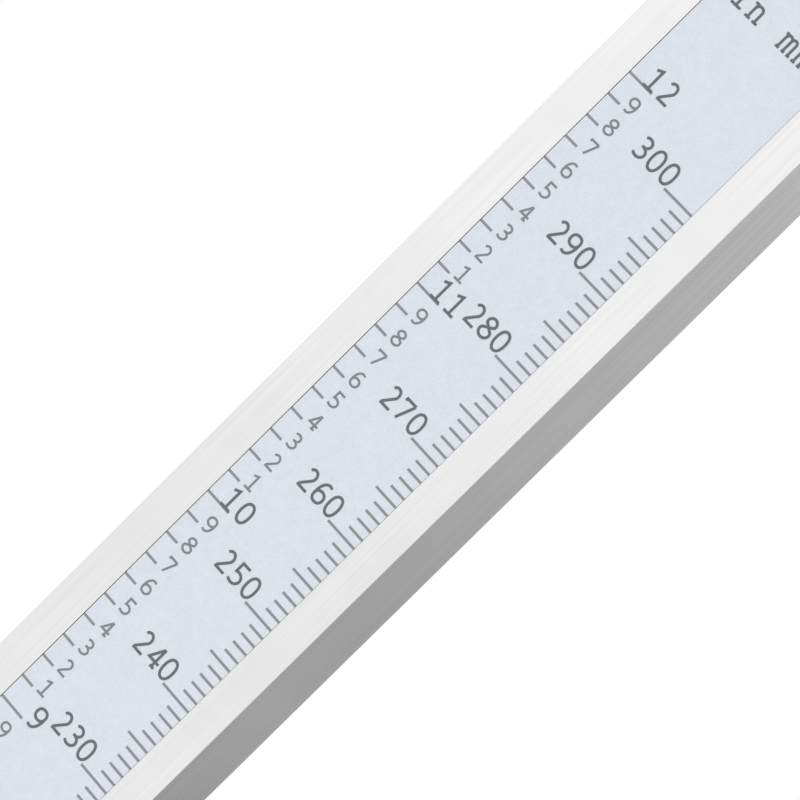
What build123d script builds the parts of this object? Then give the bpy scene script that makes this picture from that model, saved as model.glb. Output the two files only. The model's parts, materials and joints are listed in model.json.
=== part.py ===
"""Digital height caliper (height gauge), 300 mm / 12 in.

Frame: millimetres, +Z up. The origin is on the base's underside, straight below the column's axis.
+X points along the base, away from the scriber. The scale and the display face -Y.
The slider assembly is drawn with its scriber REST_READING above the surface plate.
"""

import math
import os

from build123d import *

# ---------------------------------------------------------------- driving dimensions
MEASURING_RANGE = 300.0
REST_READING = 60.0  # height of the scriber's lower face at rest

COLUMN_WIDTH = 20.0
COLUMN_DEPTH = 10.0
COLUMN_FOOT_Z = 6.0
COLUMN_SPARE = 14.0  # column left above the carriage at full height
COLUMN_EDGE = 0.04  # broken edge of the ground bar

POCKET_WIDTH = 13.24
POCKET_DEPTH = 0.8
POCKET_FOOT_Z = 42.0
FOIL_WIDTH = 13.13  # the stator strip is as wide
FOIL_THICKNESS = 0.1
STATOR_THICKNESS = 0.65
SCALE_OFFSET_X = 0.07  # pocket, strip and foil lie this far right of the column's axis

BASE_X = (-28.0, 92.0)
BASE_Y = (-40.0, 30.0)
BASE_SLAB_HEIGHT = 26.0
BASE_CORNER = 10.0
BASE_RIM_ROUND = 3.0
BASE_FOOT_CHAMFER = 0.8
BOSS_X = (-20.0, 34.0)
BOSS_Y = (-20.0, 24.0)
BOSS_HEIGHT = 38.0
BOSS_CORNER = 5.0
BOSS_RIM_ROUND = 2.0
BOSS_FOOT_ROUND = 2.5
GRIP_X = (-6.0, 76.0)  # finger groove along each long side of the base
GRIP_HEIGHT = 14.5
GRIP_RADIUS = 9.0
GRIP_DEPTH = 4.5
RELIEF_X = (18.0, 83.0)  # hollow in the underside, so that the base rests on its rim
RELIEF_MARGIN = 9.0
RELIEF_DEPTH = 1.0
COLUMN_FIT = 0.02
CLAMP_BLOCK_INSET = 1.0
COLUMN_SCREW_HEIGHTS = (15.0, 31.0)
COLUMN_SCREW_RADIUS = 2.5
COLUMN_SCREW_BITE = 12.0
COLUMN_SCREW_HEAD = {"radius": 4.25, "length": 5.0, "sink": 6.0}

CAP_HALF_SIZE = (12.0, 7.0)
CAP_THICKNESS = 4.0
CAP_SCREWS = [(-6.0, 1.0), (6.0, 1.0)]  # (x, y)
CAP_SCREW = {"head_radius": 2.6, "head_length": 1.6, "shank_radius": 1.25, "shank_length": 8.4}

SLIDER_WIDTH = 36.0
SLIDER_HEIGHT = 82.0
SLIDER_FOOT_AT_ZERO = 44.0  # slider's lower end when the scriber is on the plate
SLIDER_WALL = 3.1  # front wall and back plate
SLIDE_CLEARANCE = 0.05
GIB_THICKNESS = 1.5
CARRIAGE_GAP = 8.0
CARRIAGE_HEIGHT = 18.0
PLATE_SCREW = {"head_radius": 2.6, "head_length": 1.6, "shank_radius": 1.45, "shank_length": 6.5}
CARRIAGE_SCREWS = [(x, z) for x in (-14.0, 14.8) for z in (3.7, 14.3)]
BACK_PLATE_SCREWS = [(x, z) for x in (-14.0, 14.8) for z in (8.0, 74.0)]
GIB_SCREW_HEIGHTS = (14.0, 70.0)
GIB_SCREW_RADIUS = 1.5
SLIDER_LOCK_HEIGHT = 44.0
THUMB_SCREW_RADIUS = 2.5
TURNING_CLEARANCE = 0.02

FINE_SCREW_X = -27.5
FINE_SCREW_RADIUS = 2.0
FINE_SCREW_COLLAR_RADIUS = 3.2
FINE_SCREW_PIN_RADIUS = 0.75
LUG_REACH = 5.5  # from the fine screw's axis to the lugs' left end
LUG_HALF_DEPTH = 5.0
LUG_CORNER = 4.0
SLIDER_LUG_Z = (-22.0, -8.0)  # below the slider's upper end
NUT_RADIUS = 8.0
NUT_HEIGHT = 8.0
NUT_PLAY = 0.1

ARM_DEPTH = 9.0  # jaw, nose and scriber are as deep as each other
SCRIBER_HEIGHT = 6.35

HOUSING_WIDTH = 46.0
HOUSING_FRONT_Y = -22.0
HOUSING_WALL = 1.8
HOUSING_CORNER = 3.0
HOUSING_RIM_ROUND = 1.5
TRAY_THICKNESS = 2.0
BOARD_THICKNESS = 1.6
SENSOR_WINDOW = (8.0, (18.0, 70.0))  # half width, and heights above the slider's lower end
SENSOR_HEAD = (7.2, (21.0, 67.0))

# ---------------------------------------------------------------- worked-out places
HALF_COLUMN = COLUMN_WIDTH / 2
STACK_HEIGHT = SLIDER_HEIGHT + CARRIAGE_GAP + CARRIAGE_HEIGHT
COLUMN_TOP_Z = SLIDER_FOOT_AT_ZERO + STACK_HEIGHT + MEASURING_RANGE + COLUMN_SPARE
SCALE_STRIP_Z = (POCKET_FOOT_Z + 0.5, COLUMN_TOP_Z - 1)
FRONT_Y = -COLUMN_DEPTH / 2
BACK_Y = COLUMN_DEPTH / 2
HALF_SLIDER = SLIDER_WIDTH / 2
FRAME_FRONT_Y = FRONT_Y - SLIDE_CLEARANCE - SLIDER_WALL
FRAME_BACK_Y = BACK_Y + SLIDE_CLEARANCE
BACK_PLATE_Y = FRAME_BACK_Y + SLIDER_WALL
SLIDER_Z = SLIDER_FOOT_AT_ZERO + REST_READING
SLIDER_TOP_Z = SLIDER_Z + SLIDER_HEIGHT
CARRIAGE_Z = SLIDER_TOP_Z + CARRIAGE_GAP
CARRIAGE_TOP_Z = CARRIAGE_Z + CARRIAGE_HEIGHT
GIB_X = HALF_COLUMN + SLIDE_CLEARANCE
RIGHT_WALL_X = GIB_X + GIB_THICKNESS + SLIDE_CLEARANCE
TRAY_FRONT_Y = FRAME_FRONT_Y - TRAY_THICKNESS
BOARD_FRONT_Y = TRAY_FRONT_Y - BOARD_THICKNESS
HALF_HOUSING = HOUSING_WIDTH / 2
SHELL_INNER_Y = HOUSING_FRONT_Y + HOUSING_WALL
LUG_LEFT_X = FINE_SCREW_X - LUG_REACH
NUT_Z = CARRIAGE_Z + (CARRIAGE_HEIGHT - NUT_HEIGHT) / 2

# scriber and jaw, heights above the plate when the reading is zero
NOSE_LOW = 19.0
NOSE_HIGH = 28.0
SHANK_LOW = NOSE_LOW - SCRIBER_HEIGHT
NOSE_LEFT_X = -72.0
ARM_LEFT_X = -46.0
ARM_RIGHT_X = -34.0
JAW_ROOT_HEIGHT = 34.0  # above the slider's lower end, as is the next
JAW_SHOULDER_HEIGHT = 12.0
CLAMP_X = (-64.0, -52.0)
TIP_X = (-112.0, -100.0)

# display housing features, heights above the slider's lower end
LCD_WINDOW = (34.0, 18.0)
LCD_CENTRE_Z = 61.0
LABEL_HALF_WIDTH = 20.5
LABEL_Z = (32.5, 79.0)
LABEL_RECESS = 0.3
BUTTON_RADIUS = 3.8
BUTTON_TRAVEL = 0.6
MAT_THICKNESS = 0.6
DOME_HEIGHT = 1.2
DOME_TOP_RADIUS = 1.9
BUTTONS = {  # name: (x, height above the slider's lower end)
    "button_on_off": (-13.0, 39.0),
    "button_unit": (0.0, 39.0),
    "button_zero": (13.0, 39.0),
    "button_hold": (-14.0, 23.5),
    "button_set": (-14.0, 11.5),
}
BATTERY_X = 9.0
BATTERY_HEIGHT_Z = 17.0
BATTERY_RADIUS = 10.0
BATTERY_THICKNESS = 3.2
COVER_X = (-4.0, 23.0)
COVER_Z = (6.0, 28.0)
COVER_THICKNESS = 1.2
COVER_RIBS = 5
COVER_RIB_PITCH = 1.5
TONGUE_REACH = 0.7
TONGUE_DEPTH = 0.6  # from the housing's front to the cover's side tongues
CELL_GAP = 1.0  # between the cell and the board
PORT_X = (-7.0, 7.0)
PORT_Y = (-19.2, -13.2)
PORT_COVER_THICKNESS = 1.2
TRAY_SCREW = {"head_radius": 1.9, "head_length": 0.9, "shank_radius": 1.0, "shank_length": 3.6}
TRAY_SCREWS = [(x, z) for x in (-12.0, 12.0) for z in (12.0, 72.0)]
BOARD_SCREW_RADIUS = 1.0
BOARD_SCREWS = [(x, z) for x in (-16.5, 16.5) for z in (31.2, 73.8)]
HOUSING_SCREW_RADIUS = 0.9
HOUSING_SCREW_BITE = 6.0
HOUSING_SCREWS = [(x, z) for x in (-20.4, 20.4) for z in (3.6, 78.4)]


# ---------------------------------------------------------------- helpers
def block(x, y, z):
    """Box between (low, high) pairs."""
    centre = Pos((x[0] + x[1]) / 2, (y[0] + y[1]) / 2, (z[0] + z[1]) / 2)
    return centre * Box(x[1] - x[0], y[1] - y[0], z[1] - z[0])


def rod_x(radius, x, y, z):
    """Cylinder along X between the pair x, centred on y and z."""
    return Pos((x[0] + x[1]) / 2, y, z) * Rot(0, 90, 0) * Cylinder(radius, x[1] - x[0])


def rod_y(radius, x, y, z):
    """Cylinder along Y between the pair y, centred on x and z."""
    return Pos(x, (y[0] + y[1]) / 2, z) * Rot(90, 0, 0) * Cylinder(radius, y[1] - y[0])


def rod_z(radius, x, y, z):
    """Cylinder along Z between the pair z, centred on x and y."""
    return Pos(x, y, (z[0] + z[1]) / 2) * Cylinder(radius, z[1] - z[0])


def face_of(points, plane):
    """Closed face through points, given in the plane's own two axes."""
    return plane * make_face(Polyline(*points, close=True))


def knurled(radius, length, teeth, depth=0.35):
    """Straight-knurled drum along Z, centred on the origin, with chamfered rims."""
    points = []
    for i in range(2 * teeth):
        r = radius if i % 2 else radius - depth
        a = math.pi * i / teeth
        points.append((r * math.cos(a), r * math.sin(a)))
    drum = extrude(make_face(Polyline(*points, close=True)), amount=length / 2, both=True)
    rim = Cylinder(radius, length)
    rim = chamfer(rim.edges().filter_by(GeomType.CIRCLE), 0.7)
    return drum & rim


def thumb_screw(shank_length, head_radius=7.0, head_length=8.0, collar_length=1.5):
    """Thumb screw along +Z: shank from 0 to shank_length, then a collar and a knurled head."""
    shank = rod_z(THUMB_SCREW_RADIUS, 0, 0, (0, shank_length))
    shank = chamfer(shank.edges().sort_by(Axis.Z)[0], 0.5)
    collar = rod_z(head_radius - 2.0, 0, 0, (shank_length, shank_length + collar_length))
    middle = shank_length + collar_length + head_length / 2
    head = Pos(0, 0, middle) * knurled(head_radius, head_length, 40)
    dish = Pos(0, 0, middle + head_length / 2) * Cylinder(head_radius - 2.2, 1.0)
    return shank + collar + head - dish


def slotted_screw(head_radius, head_length, shank_radius, shank_length):
    """Flat-head slotted screw along +Z: shank from 0 up to the head, which tapers out to its top."""
    shank = rod_z(shank_radius, 0, 0, (0, shank_length))
    head = Pos(0, 0, shank_length + head_length / 2) * Cone(shank_radius, head_radius, head_length)
    slot = Pos(0, 0, shank_length + head_length) * Box(2 * head_radius, 0.6, 1.0)
    return shank + head - slot


def countersink(head_radius, head_length, shank_radius, shank_length, clearance=0.03):
    """Tool that makes room for a slotted_screw drawn with the same sizes."""
    shank = rod_z(shank_radius + clearance, 0, 0, (-clearance, shank_length))
    head = Pos(0, 0, shank_length + head_length / 2)
    return shank + head * Cone(shank_radius + clearance, head_radius + clearance, head_length)


# ---------------------------------------------------------------- base and column
def base():
    """Heavy lapped foot with finger grooves, a boss for the column and a relieved underside."""
    slab = block(BASE_X, BASE_Y, (0, BASE_SLAB_HEIGHT))
    slab = fillet(slab.edges().filter_by(Axis.Z), BASE_CORNER)
    slab = fillet(slab.faces().sort_by(Axis.Z)[-1].outer_wire().edges(), BASE_RIM_ROUND)
    slab = chamfer(slab.faces().sort_by(Axis.Z)[0].outer_wire().edges(), BASE_FOOT_CHAMFER)
    boss = block(BOSS_X, BOSS_Y, (BASE_FOOT_CHAMFER, BOSS_HEIGHT))
    boss = fillet(boss.edges().filter_by(Axis.Z), BOSS_CORNER)
    body = slab + boss
    body = fillet(body.faces().sort_by(Axis.Z)[-1].outer_wire().edges(), BOSS_RIM_ROUND)
    body = fillet([edge for edge in body.edges() if at_boss_foot(edge.center())], BOSS_FOOT_ROUND)
    away = GRIP_RADIUS - GRIP_DEPTH
    for side_y in (BASE_Y[0] - away, BASE_Y[1] + away):
        groove = rod_x(GRIP_RADIUS, GRIP_X, side_y, GRIP_HEIGHT)
        body -= fillet(groove.edges(), 4.0)
    slot_x = HALF_COLUMN + COLUMN_FIT
    body -= block((-slot_x, slot_x), (FRONT_Y - COLUMN_FIT, BASE_Y[1] + 1), (COLUMN_FOOT_Z, BOSS_HEIGHT + 1))
    relief_y = (BASE_Y[0] + RELIEF_MARGIN, BASE_Y[1] - RELIEF_MARGIN)
    relief = block(RELIEF_X, relief_y, (-1, RELIEF_DEPTH))
    body -= fillet(relief.edges().filter_by(Axis.Z), BOSS_CORNER)
    for z in COLUMN_SCREW_HEIGHTS:
        hole_y = (FRONT_Y - COLUMN_SCREW_BITE - 1, FRONT_Y + 1)
        body -= rod_y(COLUMN_SCREW_RADIUS + TURNING_CLEARANCE, 0, hole_y, z)
    return body


def at_boss_foot(point):
    """True where the boss's walls meet the slab's top."""
    level = abs(point.Z - BASE_SLAB_HEIGHT) < 0.01
    return level and BOSS_X[0] - 1 < point.X < BOSS_X[1] + 1 and BOSS_Y[0] - 1 < point.Y < BOSS_Y[1] + 1


def column():
    """Ground bar with a shallow pocket along its front for the scale, and tapped holes in its end."""
    bar = block((-HALF_COLUMN, HALF_COLUMN), (FRONT_Y, BACK_Y), (COLUMN_FOOT_Z, COLUMN_TOP_Z))
    bar = chamfer(bar.edges().filter_by(Axis.Z), COLUMN_EDGE)
    bar -= scale_strip(POCKET_WIDTH, (FRONT_Y - 1, FRONT_Y + POCKET_DEPTH), (POCKET_FOOT_Z, COLUMN_TOP_Z + 1))
    for z in COLUMN_SCREW_HEIGHTS:
        bar -= rod_y(COLUMN_SCREW_RADIUS + 0.2, 0, (FRONT_Y - 1, BACK_Y + 1), z)
    for x, y in CAP_SCREWS:
        hole_radius = CAP_SCREW["shank_radius"] + TURNING_CLEARANCE
        bar -= rod_z(hole_radius, x, y, (COLUMN_TOP_Z - 9, COLUMN_TOP_Z + 1))
    return bar


def scale_strip(width, y, z):
    """Strip down the column's front, centred where the scale is."""
    return block((SCALE_OFFSET_X - width / 2, SCALE_OFFSET_X + width / 2), y, z)


def stator_strip():
    """Glass-epoxy strip of the capacitive scale, glued in the pocket."""
    floor_y = FRONT_Y + POCKET_DEPTH
    return scale_strip(FOIL_WIDTH, (floor_y - STATOR_THICKNESS, floor_y), SCALE_STRIP_Z)


def scale_foil():
    """Printed foil over the stator strip. Its face lies a little below the bar's."""
    back_y = FRONT_Y + POCKET_DEPTH - STATOR_THICKNESS
    return scale_strip(FOIL_WIDTH, (back_y - FOIL_THICKNESS, back_y), SCALE_STRIP_Z)


def column_clamp_block():
    """Block behind the column that fills the base's slot and carries its two screws."""
    back = BOSS_Y[1] - CLAMP_BLOCK_INSET
    filler = block((-HALF_COLUMN, HALF_COLUMN), (BACK_Y, back), (COLUMN_FOOT_Z, BOSS_HEIGHT - 0.5))
    filler = chamfer(filler.edges().filter_by(Axis.Z).sort_by(Axis.Y)[-2:], BASE_FOOT_CHAMFER)
    head_room = (back - COLUMN_SCREW_HEAD["sink"], back + 1)
    for z in COLUMN_SCREW_HEIGHTS:
        filler -= rod_y(COLUMN_SCREW_RADIUS + 0.2, 0, (BACK_Y - 1, back), z)
        filler -= rod_y(COLUMN_SCREW_HEAD["radius"] + 0.35, 0, head_room, z)
    return filler


def column_screws():
    """Two socket-head screws through the block and the column into the base."""
    head_y = BOSS_Y[1] - CLAMP_BLOCK_INSET - COLUMN_SCREW_HEAD["sink"]
    end_y = head_y + COLUMN_SCREW_HEAD["length"]
    screws = []
    for z in COLUMN_SCREW_HEIGHTS:
        head = rod_y(COLUMN_SCREW_HEAD["radius"], 0, (head_y, end_y), z)
        head = chamfer(head.edges().sort_by(Axis.Y)[-1], 0.4)
        shank = rod_y(COLUMN_SCREW_RADIUS, 0, (FRONT_Y - COLUMN_SCREW_BITE, head_y), z)
        socket = extrude(RegularPolygon(2.3, 6), COLUMN_SCREW_HEAD["length"] / 2, both=True)
        screws.append(head + shank - Pos(0, end_y, z) * Rot(90, 0, 0) * socket)
    return screws


def cap_screw_place(x, y):
    """From a screw drawn along +Z to one driven down into the column, flush with the cap."""
    reach = CAP_SCREW["shank_length"] + CAP_SCREW["head_length"]
    return Pos(x, y, COLUMN_TOP_Z + CAP_THICKNESS - reach)


def column_cap():
    """Stop plate on the column's end, wider than the column, so the slider can't run off."""
    half_x, half_y = CAP_HALF_SIZE
    cap = block((-half_x, half_x), (-half_y, half_y), (COLUMN_TOP_Z, COLUMN_TOP_Z + CAP_THICKNESS))
    cap = fillet(cap.edges().filter_by(Axis.Z), 2.5)
    cap = chamfer(cap.faces().sort_by(Axis.Z)[-1].edges(), 0.6)
    for x, y in CAP_SCREWS:
        cap -= cap_screw_place(x, y) * countersink(**CAP_SCREW)
    return cap


def column_cap_screws():
    return [cap_screw_place(x, y) * Rot(0, 0, 25 * x) * slotted_screw(**CAP_SCREW) for x, y in CAP_SCREWS]


# ---------------------------------------------------------------- parts that both slides share
def channel(low_z, high_z):
    """Front wall and two side walls around the column, open at the back."""
    shell = block((-HALF_SLIDER, HALF_SLIDER), (FRAME_FRONT_Y, FRAME_BACK_Y), (low_z, high_z))
    shell = chamfer(shell.faces().sort_by(Axis.Y)[0].edges(), 0.5)
    return shell - block(
        (-GIB_X, RIGHT_WALL_X), (FRONT_Y - SLIDE_CLEARANCE, BACK_Y + 5), (low_z - 1, high_z + 1)
    )


def back_plate(low_z, high_z):
    plate = block((-HALF_SLIDER, HALF_SLIDER), (FRAME_BACK_Y, BACK_PLATE_Y), (low_z, high_z))
    return chamfer(plate.faces().sort_by(Axis.Y)[-1].edges(), 0.6)


def plate_screw_place(x, z):
    """From a screw drawn along +Z to one driven in from behind, its head flush with the back plate."""
    reach = PLATE_SCREW["shank_length"] + PLATE_SCREW["head_length"]
    return Pos(x, BACK_PLATE_Y - reach, z) * Rot(-90, 0, 0)


def with_screw_holes(shape, places):
    for x, z in places:
        shape -= plate_screw_place(x, z) * countersink(**PLATE_SCREW)
    return shape


def plate_screws(places):
    return [
        plate_screw_place(x, z) * Rot(0, 0, 37 * i + 15) * slotted_screw(**PLATE_SCREW)
        for i, (x, z) in enumerate(places)
    ]


def slider_screw_places():
    return [(x, SLIDER_Z + z) for x, z in BACK_PLATE_SCREWS]


def carriage_screw_places():
    return [(x, CARRIAGE_Z + z) for x, z in CARRIAGE_SCREWS]


def lug(z):
    """Rounded lug left of a frame, round the fine-adjustment screw."""
    shape = block((LUG_LEFT_X, -HALF_SLIDER + 0.5), (-LUG_HALF_DEPTH, LUG_HALF_DEPTH), z)
    return fillet(shape.edges().filter_by(Axis.Z).sort_by(Axis.X)[:2], LUG_CORNER)


def lock_screw_hole(z):
    return rod_x(THUMB_SCREW_RADIUS + TURNING_CLEARANCE, (GIB_X, HALF_SLIDER + 1), 0, z)


def lock_screw(z):
    """Thumb screw from the right that presses the gib or shoe."""
    tip_x = GIB_X + GIB_THICKNESS + 0.01
    reach = HALF_SLIDER - tip_x + 0.4
    return Pos(tip_x, 0, z) * Rot(0, 90, 0) * thumb_screw(reach)


# ---------------------------------------------------------------- fine-adjustment carriage
def carriage_frame():
    """Small collar on the column with a slotted lug that holds the knurled nut."""
    body = channel(CARRIAGE_Z, CARRIAGE_TOP_Z) + lug((CARRIAGE_Z, CARRIAGE_TOP_Z))
    nut_room = (NUT_Z - NUT_PLAY, NUT_Z + NUT_HEIGHT + NUT_PLAY)
    body -= block((LUG_LEFT_X - 5, FINE_SCREW_X + NUT_RADIUS + 0.3), (-6, 6), nut_room)
    body -= rod_z(FINE_SCREW_RADIUS + 0.2, FINE_SCREW_X, 0, (CARRIAGE_Z - 1, CARRIAGE_TOP_Z + 1))
    body = with_screw_holes(body, carriage_screw_places())
    return body - lock_screw_hole(CARRIAGE_Z + CARRIAGE_HEIGHT / 2)


def carriage_back_plate():
    return with_screw_holes(back_plate(CARRIAGE_Z, CARRIAGE_TOP_Z), carriage_screw_places())


def carriage_shoe():
    """Brass shoe that the carriage's lock screw presses on the column."""
    return block((GIB_X, GIB_X + GIB_THICKNESS), (-4.0, 4.0), (CARRIAGE_Z + 1, CARRIAGE_TOP_Z - 1))


def fine_adjust_nut():
    nut = Pos(FINE_SCREW_X, 0, NUT_Z + NUT_HEIGHT / 2) * knurled(NUT_RADIUS, NUT_HEIGHT, 44)
    return nut - rod_z(FINE_SCREW_RADIUS + 0.03, FINE_SCREW_X, 0, (NUT_Z - 1, NUT_Z + NUT_HEIGHT + 1))


# ---------------------------------------------------------------- slider
def jaw():
    """Arm from the slider's lower left down to the nose that the scriber is clamped under."""
    root_x = -HALF_SLIDER + 0.5
    outline = face_of(
        [
            (root_x, SLIDER_Z + JAW_ROOT_HEIGHT),
            (-HALF_SLIDER - 3, SLIDER_Z + JAW_ROOT_HEIGHT - 4),
            (ARM_LEFT_X + 4, SLIDER_Z + JAW_SHOULDER_HEIGHT),
            (ARM_LEFT_X, SLIDER_Z + JAW_SHOULDER_HEIGHT - 7),
            (ARM_LEFT_X, REST_READING + NOSE_HIGH),
            (NOSE_LEFT_X, REST_READING + NOSE_HIGH),
            (NOSE_LEFT_X, REST_READING + NOSE_LOW),
            (ARM_RIGHT_X, REST_READING + NOSE_LOW),
            (ARM_RIGHT_X, SLIDER_Z),
            (root_x, SLIDER_Z),
        ],
        Plane.XZ,
    )
    rounded = [corner for corner in outline.vertices() if NOSE_LEFT_X + 1 < corner.X < -HALF_SLIDER]
    shape = extrude(fillet(rounded, 2.5), amount=ARM_DEPTH / 2, both=True)
    return chamfer(shape.faces().filter_by(Axis.Y).edges(), 0.4)


def slider_frame():
    """Steel slider: channel round the column, jaw, and a lug for the fine-adjustment screw."""
    body = channel(SLIDER_Z, SLIDER_TOP_Z) + jaw() + lug(slider_lug_z())
    half_window, window_z = SENSOR_WINDOW
    body -= block((-half_window, half_window), (FRAME_FRONT_Y - 1, FRONT_Y), on_slider(window_z))
    body -= rod_z(FINE_SCREW_RADIUS + 0.03, FINE_SCREW_X, 0, (SLIDER_TOP_Z - 23, SLIDER_TOP_Z - 7))
    body -= fine_screw_pin()
    body = with_screw_holes(body, slider_screw_places())
    for x, z in TRAY_SCREWS:
        body -= tray_screw_place(x, z) * countersink(**TRAY_SCREW)
    for z in GIB_SCREW_HEIGHTS:
        body -= rod_x(GIB_SCREW_RADIUS + TURNING_CLEARANCE, (GIB_X, HALF_SLIDER + 1), 0, SLIDER_Z + z)
    return body - lock_screw_hole(SLIDER_Z + SLIDER_LOCK_HEIGHT)


def slider_lug_z():
    return (SLIDER_TOP_Z + SLIDER_LUG_Z[0], SLIDER_TOP_Z + SLIDER_LUG_Z[1])


def fine_screw_pin():
    """Dowel across the slider's lug that keeps the fine-adjustment screw from turning."""
    reach = LUG_HALF_DEPTH - 0.2
    return rod_y(FINE_SCREW_PIN_RADIUS, FINE_SCREW_X, (-reach, reach), sum(slider_lug_z()) / 2)


def slider_back_plate():
    return with_screw_holes(back_plate(SLIDER_Z, SLIDER_TOP_Z), slider_screw_places())


def gib_strip():
    """Brass gib between the column's right side and the slider."""
    return block((GIB_X, GIB_X + GIB_THICKNESS), (-4.6, 4.6), (SLIDER_Z + 1, SLIDER_TOP_Z - 1))


def gib_screws():
    """Two slotted set screws that take up the gib's play."""
    tip_x = GIB_X + GIB_THICKNESS + 0.01
    screws = []
    for z in GIB_SCREW_HEIGHTS:
        screw = rod_x(GIB_SCREW_RADIUS, (tip_x, HALF_SLIDER - 0.6), 0, SLIDER_Z + z)
        slot = Pos(HALF_SLIDER - 0.6, 0, SLIDER_Z + z) * Rot(z, 0, 0) * Box(1.6, 4.0, 0.5)
        screws.append(screw - slot)
    return screws


def fine_adjust_screw():
    """Threaded rod pinned in the slider's lug; the nut climbs it."""
    lug_foot, lug_top = slider_lug_z()
    screw = rod_z(FINE_SCREW_RADIUS, FINE_SCREW_X, 0, (lug_foot - 2, CARRIAGE_TOP_Z + 6))
    screw = chamfer(screw.edges().filter_by(GeomType.CIRCLE), 0.4)
    collar = rod_z(FINE_SCREW_COLLAR_RADIUS, FINE_SCREW_X, 0, (lug_top, lug_top + 3))
    return screw + collar - fine_screw_pin()


# ---------------------------------------------------------------- scriber
def scriber_clamp():
    """Box clamp round the jaw's nose and the scriber's shank."""
    low = REST_READING + SHANK_LOW
    high = REST_READING + NOSE_HIGH
    outer = block(CLAMP_X, (-8.0, 8.0), (low - 3.6, high + 7))
    outer = fillet(outer.edges().filter_by(Axis.X), 1.6)
    inner_y = ARM_DEPTH / 2 + SLIDE_CLEARANCE
    inner = block((CLAMP_X[0] - 1, CLAMP_X[1] + 1), (-inner_y, inner_y), (low, high + 1))
    hole = rod_z(THUMB_SCREW_RADIUS + TURNING_CLEARANCE, sum(CLAMP_X) / 2, 0, (high, high + 8))
    return outer - inner - hole


def scriber_clamp_screw():
    top = REST_READING + NOSE_HIGH
    return Pos(sum(CLAMP_X) / 2, 0, top + 0.01) * thumb_screw(7.8, head_radius=5.8, head_length=9.0)


def scriber_outline(points):
    lifted = [(x, z + REST_READING) for x, z in points]
    return extrude(face_of(lifted, Plane.XZ), amount=ARM_DEPTH / 2, both=True)


def scriber():
    """Cranked scriber: its shank sits under the nose and its blade's underside is the measuring face."""
    shank_top = NOSE_LOW - 0.01
    return scriber_outline(
        [
            (-38, SHANK_LOW + 0.01),
            (-68, SHANK_LOW + 0.01),
            (-72, 0),
            (TIP_X[1], 0),
            (TIP_X[1], 5.4),
            (-86, 9.0),
            (-77, shank_top),
            (-38, shank_top),
        ]
    )


def scriber_tip():
    """Carbide tip brazed on the blade's end, tapered in plan to a narrow point."""
    wedge = scriber_outline([(TIP_X[0], 0), (TIP_X[0], 0.5), (TIP_X[1], 5.4), (TIP_X[1], 0)])
    half = ARM_DEPTH / 2
    plan = face_of([(TIP_X[1], -half), (TIP_X[1], half), (TIP_X[0], 0.8), (TIP_X[0], -0.8)], Plane.XY)
    return wedge & Pos(0, 0, REST_READING - 1) * extrude(plan, 10)


# ---------------------------------------------------------------- display housing
def on_slider(z):
    """(low, high) pair measured from the slider's lower end, in the part's frame."""
    return (SLIDER_Z + z[0], SLIDER_Z + z[1])


def housing_tray():
    """Plastic back of the display housing, screwed on from behind the slider's edges."""
    y = (TRAY_FRONT_Y, FRAME_FRONT_Y)
    through = (TRAY_FRONT_Y - 1, FRAME_FRONT_Y + 1)
    tray = block((-HALF_HOUSING, HALF_HOUSING), y, (SLIDER_Z, SLIDER_TOP_Z))
    tray = fillet(tray.edges().filter_by(Axis.Y), HOUSING_CORNER)
    half_head, head_z = SENSOR_HEAD
    tray -= block((-half_head - 0.3, half_head + 0.3), through, on_slider((head_z[0] - 1, head_z[1] + 1)))
    for x, z in HOUSING_SCREWS:
        tray -= rod_y(HOUSING_SCREW_RADIUS + 0.15, x, through, SLIDER_Z + z)
    for x, z in TRAY_SCREWS:
        tray -= tray_screw_place(x, z) * countersink(**TRAY_SCREW)
    for x, z in BOARD_SCREWS:
        tray -= rod_y(BOARD_SCREW_RADIUS + 0.01, x, (TRAY_FRONT_Y - 1, TRAY_FRONT_Y + 1.8), SLIDER_Z + z)
    return tray


def tray_screw_place(x, z):
    """From a screw drawn along +Z to one driven in from the front, its head flush with the tray."""
    reach = TRAY_SCREW["shank_length"] + TRAY_SCREW["head_length"]
    return Pos(x, TRAY_FRONT_Y + reach, SLIDER_Z + z) * Rot(90, 0, 0)


def tray_screws():
    """Four countersunk screws that hold the tray on the slider."""
    return [tray_screw_place(x, z) * Rot(0, 0, 3 * z) * slotted_screw(**TRAY_SCREW) for x, z in TRAY_SCREWS]


def board_screws():
    """Four pan-head screws that hold the board on the tray."""
    screws = []
    for x, z in BOARD_SCREWS:
        head = rod_y(1.8, x, (BOARD_FRONT_Y - 1.0, BOARD_FRONT_Y), SLIDER_Z + z)
        head = fillet(head.edges().sort_by(Axis.Y)[0], 0.4)
        shank = rod_y(BOARD_SCREW_RADIUS, x, (BOARD_FRONT_Y, TRAY_FRONT_Y + 1.7), SLIDER_Z + z)
        slots = Box(0.5, 1.2, 2.2) + Box(2.2, 1.2, 0.5)
        screws.append(head + shank - Pos(x, BOARD_FRONT_Y - 1.0, SLIDER_Z + z) * slots)
    return screws


def sensor_head():
    """Capacitive reader that looks at the scale through the slider's window."""
    half, z = SENSOR_HEAD
    return block((-half, half), (TRAY_FRONT_Y, FRONT_Y - 0.1), on_slider(z))


def main_board():
    board = block((-19.0, 19.0), (BOARD_FRONT_Y, TRAY_FRONT_Y), on_slider((5.5, 76)))
    for x, z in BOARD_SCREWS:
        board -= rod_y(BOARD_SCREW_RADIUS + 0.05, x, (BOARD_FRONT_Y - 1, TRAY_FRONT_Y + 1), SLIDER_Z + z)
    return board


def driver_chip():
    """Moulded driver chip on the board, behind the display."""
    chip = block((-5.0, 5.0), (BOARD_FRONT_Y - 1.2, BOARD_FRONT_Y), on_slider((56, 66)))
    return chamfer(chip.faces().sort_by(Axis.Y)[0].edges(), 0.25)


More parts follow.
